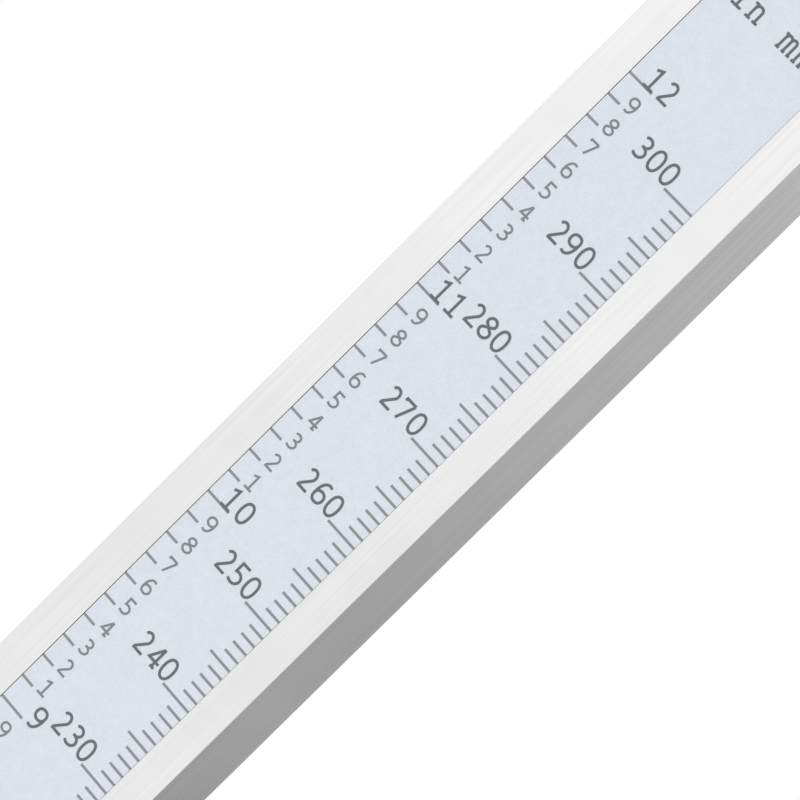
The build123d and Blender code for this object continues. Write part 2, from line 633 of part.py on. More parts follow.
def lcd_panel():
    half = LCD_WINDOW[0] / 2 + 1
    z = (LCD_CENTRE_Z - LCD_WINDOW[1] / 2 - 1, LCD_CENTRE_Z + LCD_WINDOW[1] / 2 + 1)
    return block((-half, half), (SHELL_INNER_Y + 0.3, SHELL_INNER_Y + 2.5), on_slider(z))


def zebra_strips():
    """Two elastomer strips that join the display's edges to the board."""
    strips = []
    half = LCD_WINDOW[0] / 2 - 1
    for z in (LCD_CENTRE_Z - LCD_WINDOW[1] / 2, LCD_CENTRE_Z + LCD_WINDOW[1] / 2 - 1.8):
        strips.append(block((-half, half), (SHELL_INNER_Y + 2.5, BOARD_FRONT_Y), on_slider((z, z + 1.8))))
    return strips


def lcd_lens():
    """Clear window let into the front of the housing."""
    half = LCD_WINDOW[0] / 2
    z = (LCD_CENTRE_Z - LCD_WINDOW[1] / 2, LCD_CENTRE_Z + LCD_WINDOW[1] / 2)
    lens = block((-half, half), (HOUSING_FRONT_Y + 0.15, SHELL_INNER_Y), on_slider(z))
    return fillet(lens.edges().filter_by(Axis.Y), 1.5)


def housing_shell():
    """Plastic front of the display housing."""
    shell = block(
        (-HALF_HOUSING, HALF_HOUSING), (HOUSING_FRONT_Y, TRAY_FRONT_Y), (SLIDER_Z, SLIDER_TOP_Z)
    )
    shell = fillet(shell.edges().filter_by(Axis.Y), HOUSING_CORNER)
    shell = fillet(shell.faces().sort_by(Axis.Y)[0].edges(), HOUSING_RIM_ROUND)
    cavity = block(
        (-HALF_HOUSING + HOUSING_WALL, HALF_HOUSING - HOUSING_WALL),
        (SHELL_INNER_Y, TRAY_FRONT_Y + 1),
        on_slider((HOUSING_WALL, SLIDER_HEIGHT - HOUSING_WALL)),
    )
    posts = Part() + [
        rod_y(2.2, x, (SHELL_INNER_Y - 0.5, TRAY_FRONT_Y), SLIDER_Z + z) for x, z in HOUSING_SCREWS
    ]
    inside_x = (-HALF_HOUSING + 1, HALF_HOUSING - 1)
    inside = block(inside_x, (HOUSING_FRONT_Y + 1, TRAY_FRONT_Y), on_slider((1, SLIDER_HEIGHT - 1)))
    shell = shell - cavity + (posts & inside)
    for x, z in HOUSING_SCREWS:
        hole_y = (TRAY_FRONT_Y - HOUSING_SCREW_BITE - 1, TRAY_FRONT_Y + 1)
        shell -= rod_y(HOUSING_SCREW_RADIUS + TURNING_CLEARANCE, x, hole_y, SLIDER_Z + z)
    half = LCD_WINDOW[0] / 2 + 0.02
    lens_z = (LCD_CENTRE_Z - LCD_WINDOW[1] / 2 - 0.02, LCD_CENTRE_Z + LCD_WINDOW[1] / 2 + 0.02)
    opening = block((-half, half), (HOUSING_FRONT_Y - 1, SHELL_INNER_Y + 1), on_slider(lens_z))
    shell -= fillet(opening.edges().filter_by(Axis.Y), 1.5)
    for x, z in BUTTONS.values():
        shell -= button_hole(x, z)
    return shell - label_shape(LABEL_RECESS, 0.05) - battery_door_room() - port_room()


def button_hole(x, z):
    """Tool for the hole that a button's cap stands in."""
    return rod_y(BUTTON_RADIUS + 0.15, x, (HOUSING_FRONT_Y - 1, SHELL_INNER_Y + 1), SLIDER_Z + z)


def label_shape(depth, margin):
    """Rounded plate behind the housing's front, over the display and the upper row of buttons."""
    x = (-LABEL_HALF_WIDTH - margin, LABEL_HALF_WIDTH + margin)
    z = on_slider((LABEL_Z[0] - margin, LABEL_Z[1] + margin))
    return fillet(block(x, (HOUSING_FRONT_Y, HOUSING_FRONT_Y + depth), z).edges().filter_by(Axis.Y), 1.5)


def front_label():
    """Printed overlay with openings for the window and the upper row of buttons."""
    label = label_shape(LABEL_RECESS, 0)
    half = LCD_WINDOW[0] / 2 + 0.05
    half_z = LCD_WINDOW[1] / 2 + 0.05
    window_z = on_slider((LCD_CENTRE_Z - half_z, LCD_CENTRE_Z + half_z))
    window = block((-half, half), (HOUSING_FRONT_Y - 1, SHELL_INNER_Y), window_z)
    label -= fillet(window.edges().filter_by(Axis.Y), 1.5)
    for x, z in BUTTONS.values():
        label -= button_hole(x, z)
    return label


def battery_door_room():
    """Recess and side grooves that the battery cover slides in, and the hole behind it."""
    x = (COVER_X[0] - 0.05, COVER_X[1] + 1)
    floor_y = HOUSING_FRONT_Y + COVER_THICKNESS + 0.05
    recess = block(x, (HOUSING_FRONT_Y - 1, floor_y), on_slider(COVER_Z))
    groove_z = on_slider((COVER_Z[0] - TONGUE_REACH - 0.15, COVER_Z[1] + TONGUE_REACH + 0.15))
    groove = block(x, (HOUSING_FRONT_Y + TONGUE_DEPTH - 0.05, floor_y), groove_z)
    half = BATTERY_RADIUS + 0.4
    mouth = block(
        (BATTERY_X - half, BATTERY_X + half),
        (HOUSING_FRONT_Y - 1, SHELL_INNER_Y + 1),
        on_slider((BATTERY_HEIGHT_Z - half, BATTERY_HEIGHT_Z + half)),
    )
    return recess + groove + mouth


def battery_cover():
    """Sliding cover with edge tongues and a ribbed thumb grip."""
    x = (COVER_X[0] + 0.05, COVER_X[1] - 0.05)
    y = (HOUSING_FRONT_Y, HOUSING_FRONT_Y + COVER_THICKNESS)
    cover = block(x, y, on_slider((COVER_Z[0] + 0.1, COVER_Z[1] - 0.1)))
    tongue_z = on_slider((COVER_Z[0] - TONGUE_REACH, COVER_Z[1] + TONGUE_REACH))
    cover += block(x, (y[0] + TONGUE_DEPTH, y[1]), tongue_z)
    for i in range(COVER_RIBS):
        rib_x = COVER_X[1] - COVER_RIB_PITCH * (COVER_RIBS - i) - 1
        cover -= block((rib_x, rib_x + 0.7), (y[0] - 1, y[0] + 0.35), on_slider((11.0, 23.0)))
    return cover


def battery_cell():
    rear = BOARD_FRONT_Y - CELL_GAP
    cell = rod_y(BATTERY_RADIUS, BATTERY_X, (rear - BATTERY_THICKNESS, rear), SLIDER_Z + BATTERY_HEIGHT_Z)
    return chamfer(cell.edges().filter_by(GeomType.CIRCLE), 0.4)


def battery_contacts():
    """Flat strip under the cell and a strip up its side and over its rim."""
    z = SLIDER_Z + BATTERY_HEIGHT_Z
    rear = BOARD_FRONT_Y - CELL_GAP
    front = rear - BATTERY_THICKNESS
    under = block((BATTERY_X - 6, BATTERY_X + 6), (rear, BOARD_FRONT_Y), (z - 2, z + 2))
    left = BATTERY_X - BATTERY_RADIUS
    wall = block((left - 0.5, left - 0.1), (front - 0.5, BOARD_FRONT_Y), (z - 3, z + 3))
    lip = block((left - 0.5, left + 2.5), (front - 0.5, front - 0.1), (z - 3, z + 3))
    return [under, wall + lip]


def button(name):
    """Cap with a flange behind the housing's front and a stem down to its dome."""
    x, height = BUTTONS[name]
    z = SLIDER_Z + height
    cap = rod_y(BUTTON_RADIUS, x, (HOUSING_FRONT_Y - 1.3, SHELL_INNER_Y + 0.2), z)
    cap = fillet(cap.edges().filter_by(GeomType.CIRCLE).sort_by(Axis.Y)[0], 0.6)
    flange = rod_y(BUTTON_RADIUS + 1.0, x, (SHELL_INNER_Y + 0.05, SHELL_INNER_Y + 0.85), z)
    stem_end = BOARD_FRONT_Y - MAT_THICKNESS - DOME_HEIGHT - BUTTON_TRAVEL - 0.2
    stem = rod_y(DOME_TOP_RADIUS - 0.1, x, (SHELL_INNER_Y + 0.85, stem_end), z)
    return cap + flange + stem


def button_mat():
    """Silicone mat with one dome under each button's stem."""
    parts = []
    for x, height in BUTTONS.values():
        z = SLIDER_Z + height
        pad = block((x - 4.6, x + 4.6), (BOARD_FRONT_Y - MAT_THICKNESS, BOARD_FRONT_Y), (z - 4.6, z + 4.6))
        middle_y = BOARD_FRONT_Y - MAT_THICKNESS - DOME_HEIGHT / 2
        dome = Pos(x, middle_y, z) * Rot(90, 0, 0) * Cone(3.2, DOME_TOP_RADIUS, DOME_HEIGHT)
        parts.append(pad + dome)
    return parts


def housing_screws():
    """Four self-tapping screws from behind the tray into the shell's posts."""
    screws = []
    shank_y = (TRAY_FRONT_Y - HOUSING_SCREW_BITE, FRAME_FRONT_Y)
    for x, z in HOUSING_SCREWS:
        shank = rod_y(HOUSING_SCREW_RADIUS, x, shank_y, SLIDER_Z + z)
        head = rod_y(1.9, x, (FRAME_FRONT_Y, FRAME_FRONT_Y + 1.2), SLIDER_Z + z)
        slots = Box(0.5, 1.2, 2.6) + Box(2.6, 1.2, 0.5)
        screws.append(shank + head - Pos(x, FRAME_FRONT_Y + 1.2, SLIDER_Z + z) * slots)
    return screws


def port_room():
    return block(PORT_X, PORT_Y, (SLIDER_TOP_Z - HOUSING_WALL - 1, SLIDER_TOP_Z + 1))


def port_cover():
    """Plug for the data port, flush with the housing's top, with a nick for a fingernail."""
    x = (PORT_X[0] + 0.1, PORT_X[1] - 0.1)
    y = (PORT_Y[0] + 0.1, PORT_Y[1] - 0.1)
    plate = block(x, y, (SLIDER_TOP_Z - PORT_COVER_THICKNESS, SLIDER_TOP_Z))
    plate = fillet(plate.edges().filter_by(Axis.Z), 0.4)
    tongue = block((x[0] + 2.5, x[1] - 2.5), (y[0] + 2, y[1] - 2), (SLIDER_TOP_Z - 3.2, SLIDER_TOP_Z - 1))
    nick = block((-2.0, 2.0), (y[0] - 1, y[0] + 0.9), (SLIDER_TOP_Z - 0.5, SLIDER_TOP_Z + 1))
    return plate + tongue - nick


def port_socket():
    """Data socket at the board's upper edge, behind the plug."""
    top = SLIDER_TOP_Z - HOUSING_WALL - 0.05
    body = block((-6.2, 6.2), (PORT_Y[0] + 0.8, BOARD_FRONT_Y), (top - 6.0, top))
    return body - block((-5.0, 5.0), (PORT_Y[0] + 1.6, PORT_Y[1] - 0.8), (top - 5.0, top + 1))


# ---------------------------------------------------------------- write every node
def nodes():
    made = {
        "base": base(),
        "column": column(),
        "stator_strip": stator_strip(),
        "scale_foil": scale_foil(),
        "column_clamp_block": column_clamp_block(),
        "column_screws": column_screws(),
        "column_cap": column_cap(),
        "column_cap_screws": column_cap_screws(),
        "carriage_frame": carriage_frame(),
        "carriage_back_plate": carriage_back_plate(),
        "carriage_plate_screws": plate_screws(carriage_screw_places()),
        "carriage_shoe": carriage_shoe(),
        "carriage_lock_screw": lock_screw(CARRIAGE_Z + CARRIAGE_HEIGHT / 2),
        "fine_adjust_nut": fine_adjust_nut(),
        "fine_adjust_screw": fine_adjust_screw(),
        "fine_screw_pin": fine_screw_pin(),
        "slider_frame": slider_frame(),
        "slider_back_plate": slider_back_plate(),
        "slider_plate_screws": plate_screws(slider_screw_places()),
        "gib_strip": gib_strip(),
        "gib_screws": gib_screws(),
        "slider_lock_screw": lock_screw(SLIDER_Z + SLIDER_LOCK_HEIGHT),
        "scriber_clamp": scriber_clamp(),
        "scriber_clamp_screw": scriber_clamp_screw(),
        "scriber": scriber(),
        "scriber_tip": scriber_tip(),
        "housing_tray": housing_tray(),
        "housing_shell": housing_shell(),
        "housing_screws": housing_screws(),
        "tray_screws": tray_screws(),
        "board_screws": board_screws(),
        "front_label": front_label(),
        "sensor_head": sensor_head(),
        "main_board": main_board(),
        "driver_chip": driver_chip(),
        "lcd_panel": lcd_panel(),
        "lcd_lens": lcd_lens(),
        "zebra_strips": zebra_strips(),
        "button_mat": button_mat(),
        "battery_cell": battery_cell(),
        "battery_contacts": battery_contacts(),
        "battery_cover": battery_cover(),
        "port_socket": port_socket(),
        "port_cover": port_cover(),
    }
    for name in BUTTONS:
        made[name] = button(name)
    return made


os.makedirs("parts", exist_ok=True)
for node, shape in nodes().items():
    if isinstance(shape, list):
        shape = Compound(children=shape)
    export_step(shape, f"parts/{node}.step")
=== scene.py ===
"""Looks for a digital height caliper: steel, enamel, plastic, the printed scale and the display."""

import json
import math

import bmesh
import bpy
from mathutils import Matrix, Vector


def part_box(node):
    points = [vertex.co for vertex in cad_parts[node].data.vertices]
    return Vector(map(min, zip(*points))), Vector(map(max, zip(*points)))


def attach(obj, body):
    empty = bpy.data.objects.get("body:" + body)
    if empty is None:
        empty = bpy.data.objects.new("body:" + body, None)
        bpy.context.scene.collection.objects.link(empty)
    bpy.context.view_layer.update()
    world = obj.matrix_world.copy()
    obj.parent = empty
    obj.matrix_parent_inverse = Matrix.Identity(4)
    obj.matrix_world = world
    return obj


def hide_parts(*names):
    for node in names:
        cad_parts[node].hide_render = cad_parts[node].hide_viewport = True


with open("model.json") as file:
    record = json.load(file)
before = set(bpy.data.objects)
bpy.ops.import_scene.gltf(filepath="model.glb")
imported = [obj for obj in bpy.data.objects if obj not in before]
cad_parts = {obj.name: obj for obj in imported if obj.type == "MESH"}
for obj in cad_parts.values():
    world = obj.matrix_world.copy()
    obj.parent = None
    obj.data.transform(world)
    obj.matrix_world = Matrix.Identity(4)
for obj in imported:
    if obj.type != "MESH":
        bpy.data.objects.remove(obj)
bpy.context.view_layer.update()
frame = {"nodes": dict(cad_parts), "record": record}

MM = 0.001

# ---------------------------------------------------------------- places read from the frame
column_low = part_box("column")[0]
foil_low, foil_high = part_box("scale_foil")
shell_low, shell_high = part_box("housing_shell")
lens_low, lens_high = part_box("lcd_lens")
panel_low, panel_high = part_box("lcd_panel")
label_low, label_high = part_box("front_label")
door_low, door_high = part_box("battery_cover")
screw_low, screw_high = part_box("fine_adjust_screw")

READING = 60.0  # millimetres on the scale at the slider's upper edge, at rest
SCALE_ZERO = shell_high[2] - READING * MM
MEASURING_RANGE = 300  # millimetres
INCH_RANGE = 12
INCH = 25.4 * MM

# ---------------------------------------------------------------- view
CAMERA_TARGET = Vector((0.0, column_low[1], 397.48 * MM))
CAMERA_AZIMUTH = 20.25
CAMERA_ELEVATION = 5.85
CAMERA_DISTANCE = 349.2 * MM
CAMERA_ROLL = -45.31
CAMERA_LENS = 185.0
CAMERA_CLIP_START = 10 * MM


def add_camera():
    azimuth = math.radians(CAMERA_AZIMUTH)
    elevation = math.radians(CAMERA_ELEVATION)
    level = math.cos(elevation)
    away = Vector((math.sin(azimuth) * level, -math.cos(azimuth) * level, math.sin(elevation)))
    data = bpy.data.cameras.new("camera")
    data.lens = CAMERA_LENS
    data.clip_start = CAMERA_CLIP_START
    camera = bpy.data.objects.new("camera", data)
    bpy.context.scene.collection.objects.link(camera)
    roll = Matrix.Rotation(math.radians(-CAMERA_ROLL), 3, "Z")
    turn = away.to_track_quat("Z", "Y").to_matrix() @ roll
    camera.matrix_world = Matrix.Translation(CAMERA_TARGET + away * CAMERA_DISTANCE) @ turn.to_4x4()
    bpy.context.scene.camera = camera


# ---------------------------------------------------------------- materials
NOISE_MIDDLE = (0.3, 0.7)  # most of a noise lies between these
CELL_SMOOTHNESS = 0.6
BEVEL_SAMPLES = 6
EDGE_TURN = (0.99, 0.80)  # cosine of the normal's turn where the pale edge (part wear, part painted highlight) begins, and where it is full
BARE_RIM = 0.85 * MM  # the base is unpainted up to this height


def rgba(color):
    """A colour's socket as it is, or its three numbers with an alpha of 1."""
    return color if isinstance(color, bpy.types.NodeSocket) else (*color, 1.0)


class Surface:
    """Node material round one Principled shader. Patterns repeat per millimetre of the row frame."""

    def __init__(self, name, **sockets):
        self.material = bpy.data.materials.new(name)
        self.material.use_nodes = True
        self.tree = self.material.node_tree
        self.shader = self.tree.nodes["Principled BSDF"]
        self.place = self.add("ShaderNodeTexCoord").outputs["Object"]
        for socket, value in sockets.items():
            self.set(socket.replace("_", " "), value)

    def add(self, kind, inputs=None, **settings):
        node = self.tree.nodes.new(kind)
        for key, value in settings.items():
            setattr(node, key, value)
        for key, value in (inputs or {}).items():
            self.feed(node.inputs[key], value)
        return node

    def feed(self, socket, value):
        if isinstance(value, bpy.types.NodeSocket):
            self.tree.links.new(value, socket)
        else:
            socket.default_value = value

    def set(self, socket, value):
        self.feed(self.shader.inputs[socket], value)

    def scaled_place(self, per_mm):
        """Place times how often a pattern repeats in a millimetre: one rate, or one for each axis."""
        rates = [per_mm] * 3 if isinstance(per_mm, (int, float)) else per_mm
        inputs = {0: self.place, 1: [rate / MM for rate in rates]}
        return self.add("ShaderNodeVectorMath", inputs, operation="MULTIPLY").outputs[0]

    def noise(self, per_mm, detail=3.0, roughness=0.5, distortion=0.0):
        inputs = {
            "Vector": self.scaled_place(per_mm), "Scale": 1.0,
            "Detail": detail, "Roughness": roughness, "Distortion": distortion,
        }
        return self.add("ShaderNodeTexNoise", inputs).outputs["Fac"]

    def cells(self, per_mm):
        inputs = {"Vector": self.scaled_place(per_mm), "Scale": 1.0, "Smoothness": CELL_SMOOTHNESS}
        return self.add("ShaderNodeTexVoronoi", inputs, feature="SMOOTH_F1").outputs["Distance"]

    def height(self):
        return self.add("ShaderNodeSeparateXYZ", {0: self.place}).outputs["Z"]

    def math(self, operation, a, b):
        return self.add("ShaderNodeMath", {0: a, 1: b}, operation=operation).outputs[0]

    def spread(self, value, low, high, to_low=0.0, to_high=1.0):
        """Maps low..high of a pattern to to_low..to_high, and holds it there outside."""
        inputs = {0: value, 1: low, 2: high, 3: to_low, 4: to_high}
        return self.add("ShaderNodeMapRange", inputs).outputs[0]

    def swing(self, patterns):
        """A half, plus how far each pattern is from its own half, times its weight."""
        total = 0.5 - sum(weight for _, weight in patterns) / 2
        for pattern, weight in patterns:
            total = self.math("ADD", total, self.math("MULTIPLY", pattern, weight))
        return total

    def near_edge(self, reach_mm):
        """1 at an outer edge, falling to 0 at a distance from it."""
        inputs = {"Radius": reach_mm * MM}
        rounded = self.add("ShaderNodeBevel", inputs, samples=BEVEL_SAMPLES).outputs["Normal"]
        flat = self.add("ShaderNodeNewGeometry").outputs["True Normal"]
        turn = self.add("ShaderNodeVectorMath", {0: rounded, 1: flat}, operation="DOT_PRODUCT")
        return self.spread(turn.outputs["Value"], *EDGE_TURN)

    def tint(self, factor, dark, light):
        """Colour that runs from dark to light as the pattern goes from 0 to 1."""
        inputs = {0: factor, 6: rgba(dark), 7: rgba(light)}  # 6 and 7 are the node's two colours
        return self.add("ShaderNodeMix", inputs, data_type="RGBA").outputs[2]

    def rubbed(self, color, bright, reach_mm, strength):
        """The colour, painted bright towards outer edges: partly edge wear, partly a painted highlight
        where broken edges would catch light.
        """
        return self.tint(self.math("MULTIPLY", self.near_edge(reach_mm), strength), color, bright)

    def paint(self, color):
        self.set("Base Color", rgba(color))

    def roughen(self, pattern, low, high):
        self.set("Roughness", self.spread(pattern, *NOISE_MIDDLE, low, high))

    def vary(self, pattern, dark, light, roughness):
        """Colour and roughness that follow one pattern; roughness is a (low, high) pair."""
        self.paint(self.tint(pattern, dark, light))
        self.roughen(pattern, *roughness)

    def bump(self, pattern, depth_mm, strength):
        """Adds relief; each call is laid over the one before."""
        inputs = {"Height": pattern, "Strength": strength, "Distance": depth_mm * MM}
        node = self.add("ShaderNodeBump", inputs)
        normal = self.shader.inputs["Normal"]
        if normal.is_linked:
            self.feed(node.inputs["Normal"], normal.links[0].from_socket)
        self.feed(normal, node.outputs[0])


def ground_metal(name, dark, light, roughness, along="Z"):
    """Ground or brushed metal whose grit lines run along one axis, painted bright along its edges as wear
    and as a painted highlight.
    """
    surface = Surface(name, Metallic=1.0)

    def lines(across_per_mm, along_per_mm):
        rates = [along_per_mm if axis == along else across_per_mm for axis in "XYZ"]
        return surface.noise(rates, detail=4.0, roughness=0.65)

    fine = lines(9.0, 0.05)
    coarse = lines(1.6, 0.012)
    grain = surface.spread(surface.swing([(fine, 0.65), (coarse, 0.35)]), 0.34, 0.66)
    wear_and_highlight = (0.88, 0.88, 0.88)
    # pale edges: partly edge wear, partly a painted highlight where the broken edges would catch light
    surface.paint(surface.rubbed(surface.tint(grain, dark, light), wear_and_highlight, reach_mm=0.18, strength=0.8))
    surface.roughen(fine, roughness * 0.85, roughness * 1.2)
    surface.bump(fine, depth_mm=0.004, strength=0.6)
    return surface.material


def ground_steel():
    """The column: faint lines up its wide faces, and bolder lines and bands up its narrow sides."""
    surface = Surface("ground_steel", Metallic=1.0)
    wide = surface.noise((8.0, 0.0, 0.04), roughness=0.6)
    narrow = surface.noise((0.0, 3.2, 0.03), detail=4.0, roughness=0.65)
    bands = surface.noise((0.0, 0.9, 0.012), detail=1.0)
    grain = surface.swing([(wide, 1.35), (narrow, 1.6), (bands, 1.0)])
    surface.paint(surface.tint(grain, (0.815, 0.815, 0.815), (0.948, 0.948, 0.948)))
    surface.roughen(wide, 0.26, 0.36)
    surface.bump(wide, depth_mm=0.003, strength=0.5)
    surface.bump(narrow, depth_mm=0.006, strength=0.5)
    return surface.material


def slider_steel():
    return ground_metal("slider_steel", (0.44, 0.44, 0.45), (0.66, 0.66, 0.67), roughness=0.33)


def scriber_steel():
    dark, light = (0.50, 0.51, 0.52), (0.70, 0.71, 0.72)
    return ground_metal("scriber_steel", dark, light, roughness=0.26, along="X")


def carbide():
    surface = Surface("carbide", Metallic=1.0)
    specks = surface.noise(14, detail=2.0)
    surface.vary(specks, (0.16, 0.165, 0.18), (0.27, 0.275, 0.29), roughness=(0.18, 0.32))
    surface.bump(specks, depth_mm=0.002, strength=0.4)
    return surface.material


def satin_chrome():
    surface = Surface("satin_chrome", Metallic=1.0)
    haze = surface.noise(9)
    surface.vary(haze, (0.62, 0.62, 0.635), (0.72, 0.72, 0.73), roughness=(0.18, 0.26))
    surface.bump(haze, depth_mm=0.0015, strength=0.4)
    return surface.material


def black_screw():
    surface = Surface("black_screw", Metallic=0.85)
    haze = surface.noise(3, detail=4.0, roughness=0.7)
    surface.vary(haze, (0.018, 0.018, 0.02), (0.06, 0.058, 0.06), roughness=(0.32, 0.5))
    surface.bump(haze, depth_mm=0.006, strength=0.5)
    return surface.material


def steel_screw():
    surface = Surface("steel_screw", Metallic=1.0)
    haze = surface.noise(8)
    plain = surface.tint(haze, (0.34, 0.34, 0.35), (0.46, 0.46, 0.47))
    # pale edges: partly edge wear, partly a painted highlight where the broken edges would catch light
    surface.paint(surface.rubbed(plain, (0.8, 0.8, 0.8), reach_mm=0.15, strength=0.7))
    surface.roughen(haze, 0.26, 0.36)
    surface.bump(haze, depth_mm=0.002, strength=0.4)
    return surface.material


def base_paint():
    """Hammer-finish enamel, with bare ground metal below the lower rim."""
    surface = Surface("base_paint", Coat_Weight=0.35, Coat_Roughness=0.12)
    dimples = surface.cells(0.7)
    flow = surface.noise(0.2)
    grit = surface.noise(3)
    lines = surface.noise((0.05, 7, 7), detail=4.0, roughness=0.6)
    bare = surface.math("LESS_THAN", surface.height(), BARE_RIM)
    relief = surface.spread(surface.math("ADD", dimples, surface.math("MULTIPLY", flow, 0.5)), 0.3, 1.1)
    enamel = surface.tint(relief, (0.10, 0.108, 0.117), (0.155, 0.164, 0.174))
    metal = surface.tint(lines, (0.42, 0.42, 0.43), (0.66, 0.66, 0.67))
    surface.paint(surface.tint(bare, enamel, metal))
    surface.set("Metallic", surface.spread(bare, 0, 1, 0.35, 1.0))
    surface.roughen(grit, 0.26, 0.36)
    painted = surface.math("SUBTRACT", 1.0, bare)
    surface.bump(surface.math("MULTIPLY", relief, painted), depth_mm=0.2, strength=0.5)
    return surface.material


def brass():
    surface = Surface("brass", Metallic=1.0)
    lines = surface.noise((6, 6, 0.2), detail=4.0, roughness=0.6)
    surface.vary(lines, (0.62, 0.44, 0.17), (0.84, 0.66, 0.33), roughness=(0.24, 0.38))
    surface.bump(lines, depth_mm=0.004, strength=0.5)
    return surface.material


def foil():
    """Pale printed film with the faint mottle of its metallised backing."""
    surface = Surface("foil", Specular_IOR_Level=0.35)
    mottle = surface.noise(1.1, detail=5.0, roughness=0.62, distortion=0.4)
    speckle = surface.noise(7, detail=2.0)
    both = surface.swing([(mottle, 0.8), (speckle, 1.3)])
    surface.paint(surface.tint(both, (0.619, 0.657, 0.727), (0.725, 0.758, 0.828)))
    surface.roughen(mottle, 0.42, 0.55)
    surface.bump(speckle, depth_mm=0.002, strength=0.4)
    return surface.material


def ink(name, brightness, shade=(0.95, 0.96, 1.04)):
    """Print of one colour, a little uneven: the shade times a brightness from 0 to 1."""
    surface = Surface(name, Specular_IOR_Level=0.3)
    patches = surface.noise(9, detail=2.0)
    thick = [0.85 * brightness * part for part in shade]
    thin = [1.15 * brightness * part for part in shade]
    surface.vary(patches, thick, thin, roughness=(0.5, 0.65))
    return surface.material


def stator():
    """Solder mask over fine copper cells."""
    surface = Surface("stator", Coat_Weight=0.3)
    inputs = {"Vector": surface.scaled_place((0, 0, 1)), "Scale": 0.4}
    cells = surface.add("ShaderNodeTexWave", inputs, bands_direction="Z").outputs["Fac"]
    surface.paint(surface.tint(cells, (0.16, 0.24, 0.14), (0.34, 0.42, 0.26)))
    surface.roughen(surface.noise(2), 0.3, 0.45)
    return surface.material


def moulded(name, dark, light, roughness, grain_per_mm=2.6, **sockets):
    """Moulded plastic or rubber with a spark-eroded grain."""
    surface = Surface(name, **sockets)
    grain = surface.noise(grain_per_mm, detail=5.0, roughness=0.7)
    cloud = surface.noise(0.06, detail=2.0)
    surface.paint(surface.tint(surface.swing([(grain, 0.5), (cloud, 0.5)]), dark, light))
    surface.roughen(grain, roughness * 0.88, roughness * 1.15)
    surface.bump(grain, depth_mm=0.02, strength=0.6)
    return surface.material


def housing():
    return moulded("housing", (0.013, 0.014, 0.016), (0.034, 0.036, 0.040), roughness=0.46)


def label():
    """Satin silver overlay with fine horizontal brushing."""
    surface = Surface("label", Metallic=0.55)
    lines = surface.noise((0.12, 8, 8), detail=4.0, roughness=0.6)
    brushing = surface.spread(lines, 0.35, 0.65)
    surface.paint(surface.tint(brushing, (0.40, 0.415, 0.435), (0.54, 0.555, 0.575)))
    surface.roughen(lines, 0.32, 0.44)
    surface.bump(lines, depth_mm=0.003, strength=0.5)
    return surface.material


def lens():
    surface = Surface("lens", Alpha=0.10, Coat_Weight=0.6, Coat_Roughness=0.03)
    surface.paint((0.06, 0.07, 0.07))
    surface.roughen(surface.noise(0.12), 0.04, 0.12)
    return surface.material


def lcd():
    """Grey-green display, a little paler towards its top."""
    surface = Surface("lcd", Specular_IOR_Level=0.4)
    grain = surface.noise(6, detail=2.0)
    fade = surface.spread(surface.height(), panel_low[2], panel_high[2])
    field = surface.tint(fade, (0.36, 0.40, 0.33), (0.46, 0.50, 0.42))
    glints = surface.spread(grain, 0.2, 0.8, 0.0, 0.12)
    surface.paint(surface.tint(glints, field, (0.62, 0.66, 0.58)))
    surface.roughen(grain, 0.28, 0.36)
    return surface.material


def board():
    surface = Surface("board", Coat_Weight=0.4, Coat_Roughness=0.15)
    weave = surface.cells(1.6)
    surface.paint(surface.tint(weave, (0.012, 0.085, 0.035), (0.03, 0.17, 0.075)))
    surface.set("Roughness", surface.spread(weave, 0.2, 0.8, 0.3, 0.42))
    surface.bump(weave, depth_mm=0.01, strength=0.4)
    return surface.material


def chip():
    dark, light = (0.016, 0.016, 0.017), (0.04, 0.04, 0.042)
    return moulded("chip", dark, light, roughness=0.6, grain_per_mm=8)


def button_grey():
    dark, light = (0.16, 0.165, 0.175), (0.26, 0.265, 0.275)
    return moulded("button_grey", dark, light, roughness=0.6, grain_per_mm=5)


def button_red():
    dark, light = (0.38, 0.022, 0.018), (0.56, 0.05, 0.04)
    return moulded("button_red", dark, light, roughness=0.55, grain_per_mm=5)


def silicone():
    dark, light = (0.50, 0.50, 0.48), (0.68, 0.68, 0.66)
    return moulded("silicone", dark, light, roughness=0.5, Subsurface_Weight=0.2)


def nickel():
    surface = Surface("nickel", Metallic=1.0)
    haze = surface.noise(2.2, detail=4.0)
    surface.vary(haze, (0.56, 0.54, 0.50), (0.74, 0.72, 0.68), roughness=(0.18, 0.30))
    return surface.material


def socket_plastic():
    dark, light = (0.03, 0.03, 0.033), (0.07, 0.07, 0.074)
    return moulded("socket_plastic", dark, light, roughness=0.42, grain_per_mm=4)


SLOT_MATERIALS = {
    "ground_steel": ground_steel, "slider_steel": slider_steel, "scriber_steel": scriber_steel,
    "carbide": carbide, "satin_chrome": satin_chrome, "black_screw": black_screw,
    "steel_screw": steel_screw, "base_paint": base_paint, "brass": brass, "foil": foil,
    "stator": stator, "housing": housing, "label": label, "lens": lens, "lcd": lcd, "board": board,
    "chip": chip, "button_grey": button_grey, "button_red": button_red, "silicone": silicone,
    "nickel": nickel, "socket_plastic": socket_plastic,
}


def dress_frame():
    """Gives each CAD node the material of its slot."""
    made = {slot: make() for slot, make in SLOT_MATERIALS.items()}
    for entry in frame["record"]["subparts"]:
        mesh = frame["nodes"][entry["node"]].data
        mesh.materials.clear()
        mesh.materials.append(made[entry["material_slot"]])
    return made


def add_piece(name, mesh, body, material):
    mesh.materials.append(material)
    piece = bpy.data.objects.new(name, mesh)
    bpy.context.scene.collection.objects.link(piece)
    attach(piece, body)
    return piece


# ---------------------------------------------------------------- outlines
def arc(centre, radii, start, end, steps=14):
    """Points on an ellipse from one angle to another, in degrees."""
    points = []
    for i in range(steps + 1):
        a = math.radians(start + (end - start) * i / steps)
        points.append((centre[0] + radii[0] * math.cos(a), centre[1] + radii[1] * math.sin(a)))
    return points


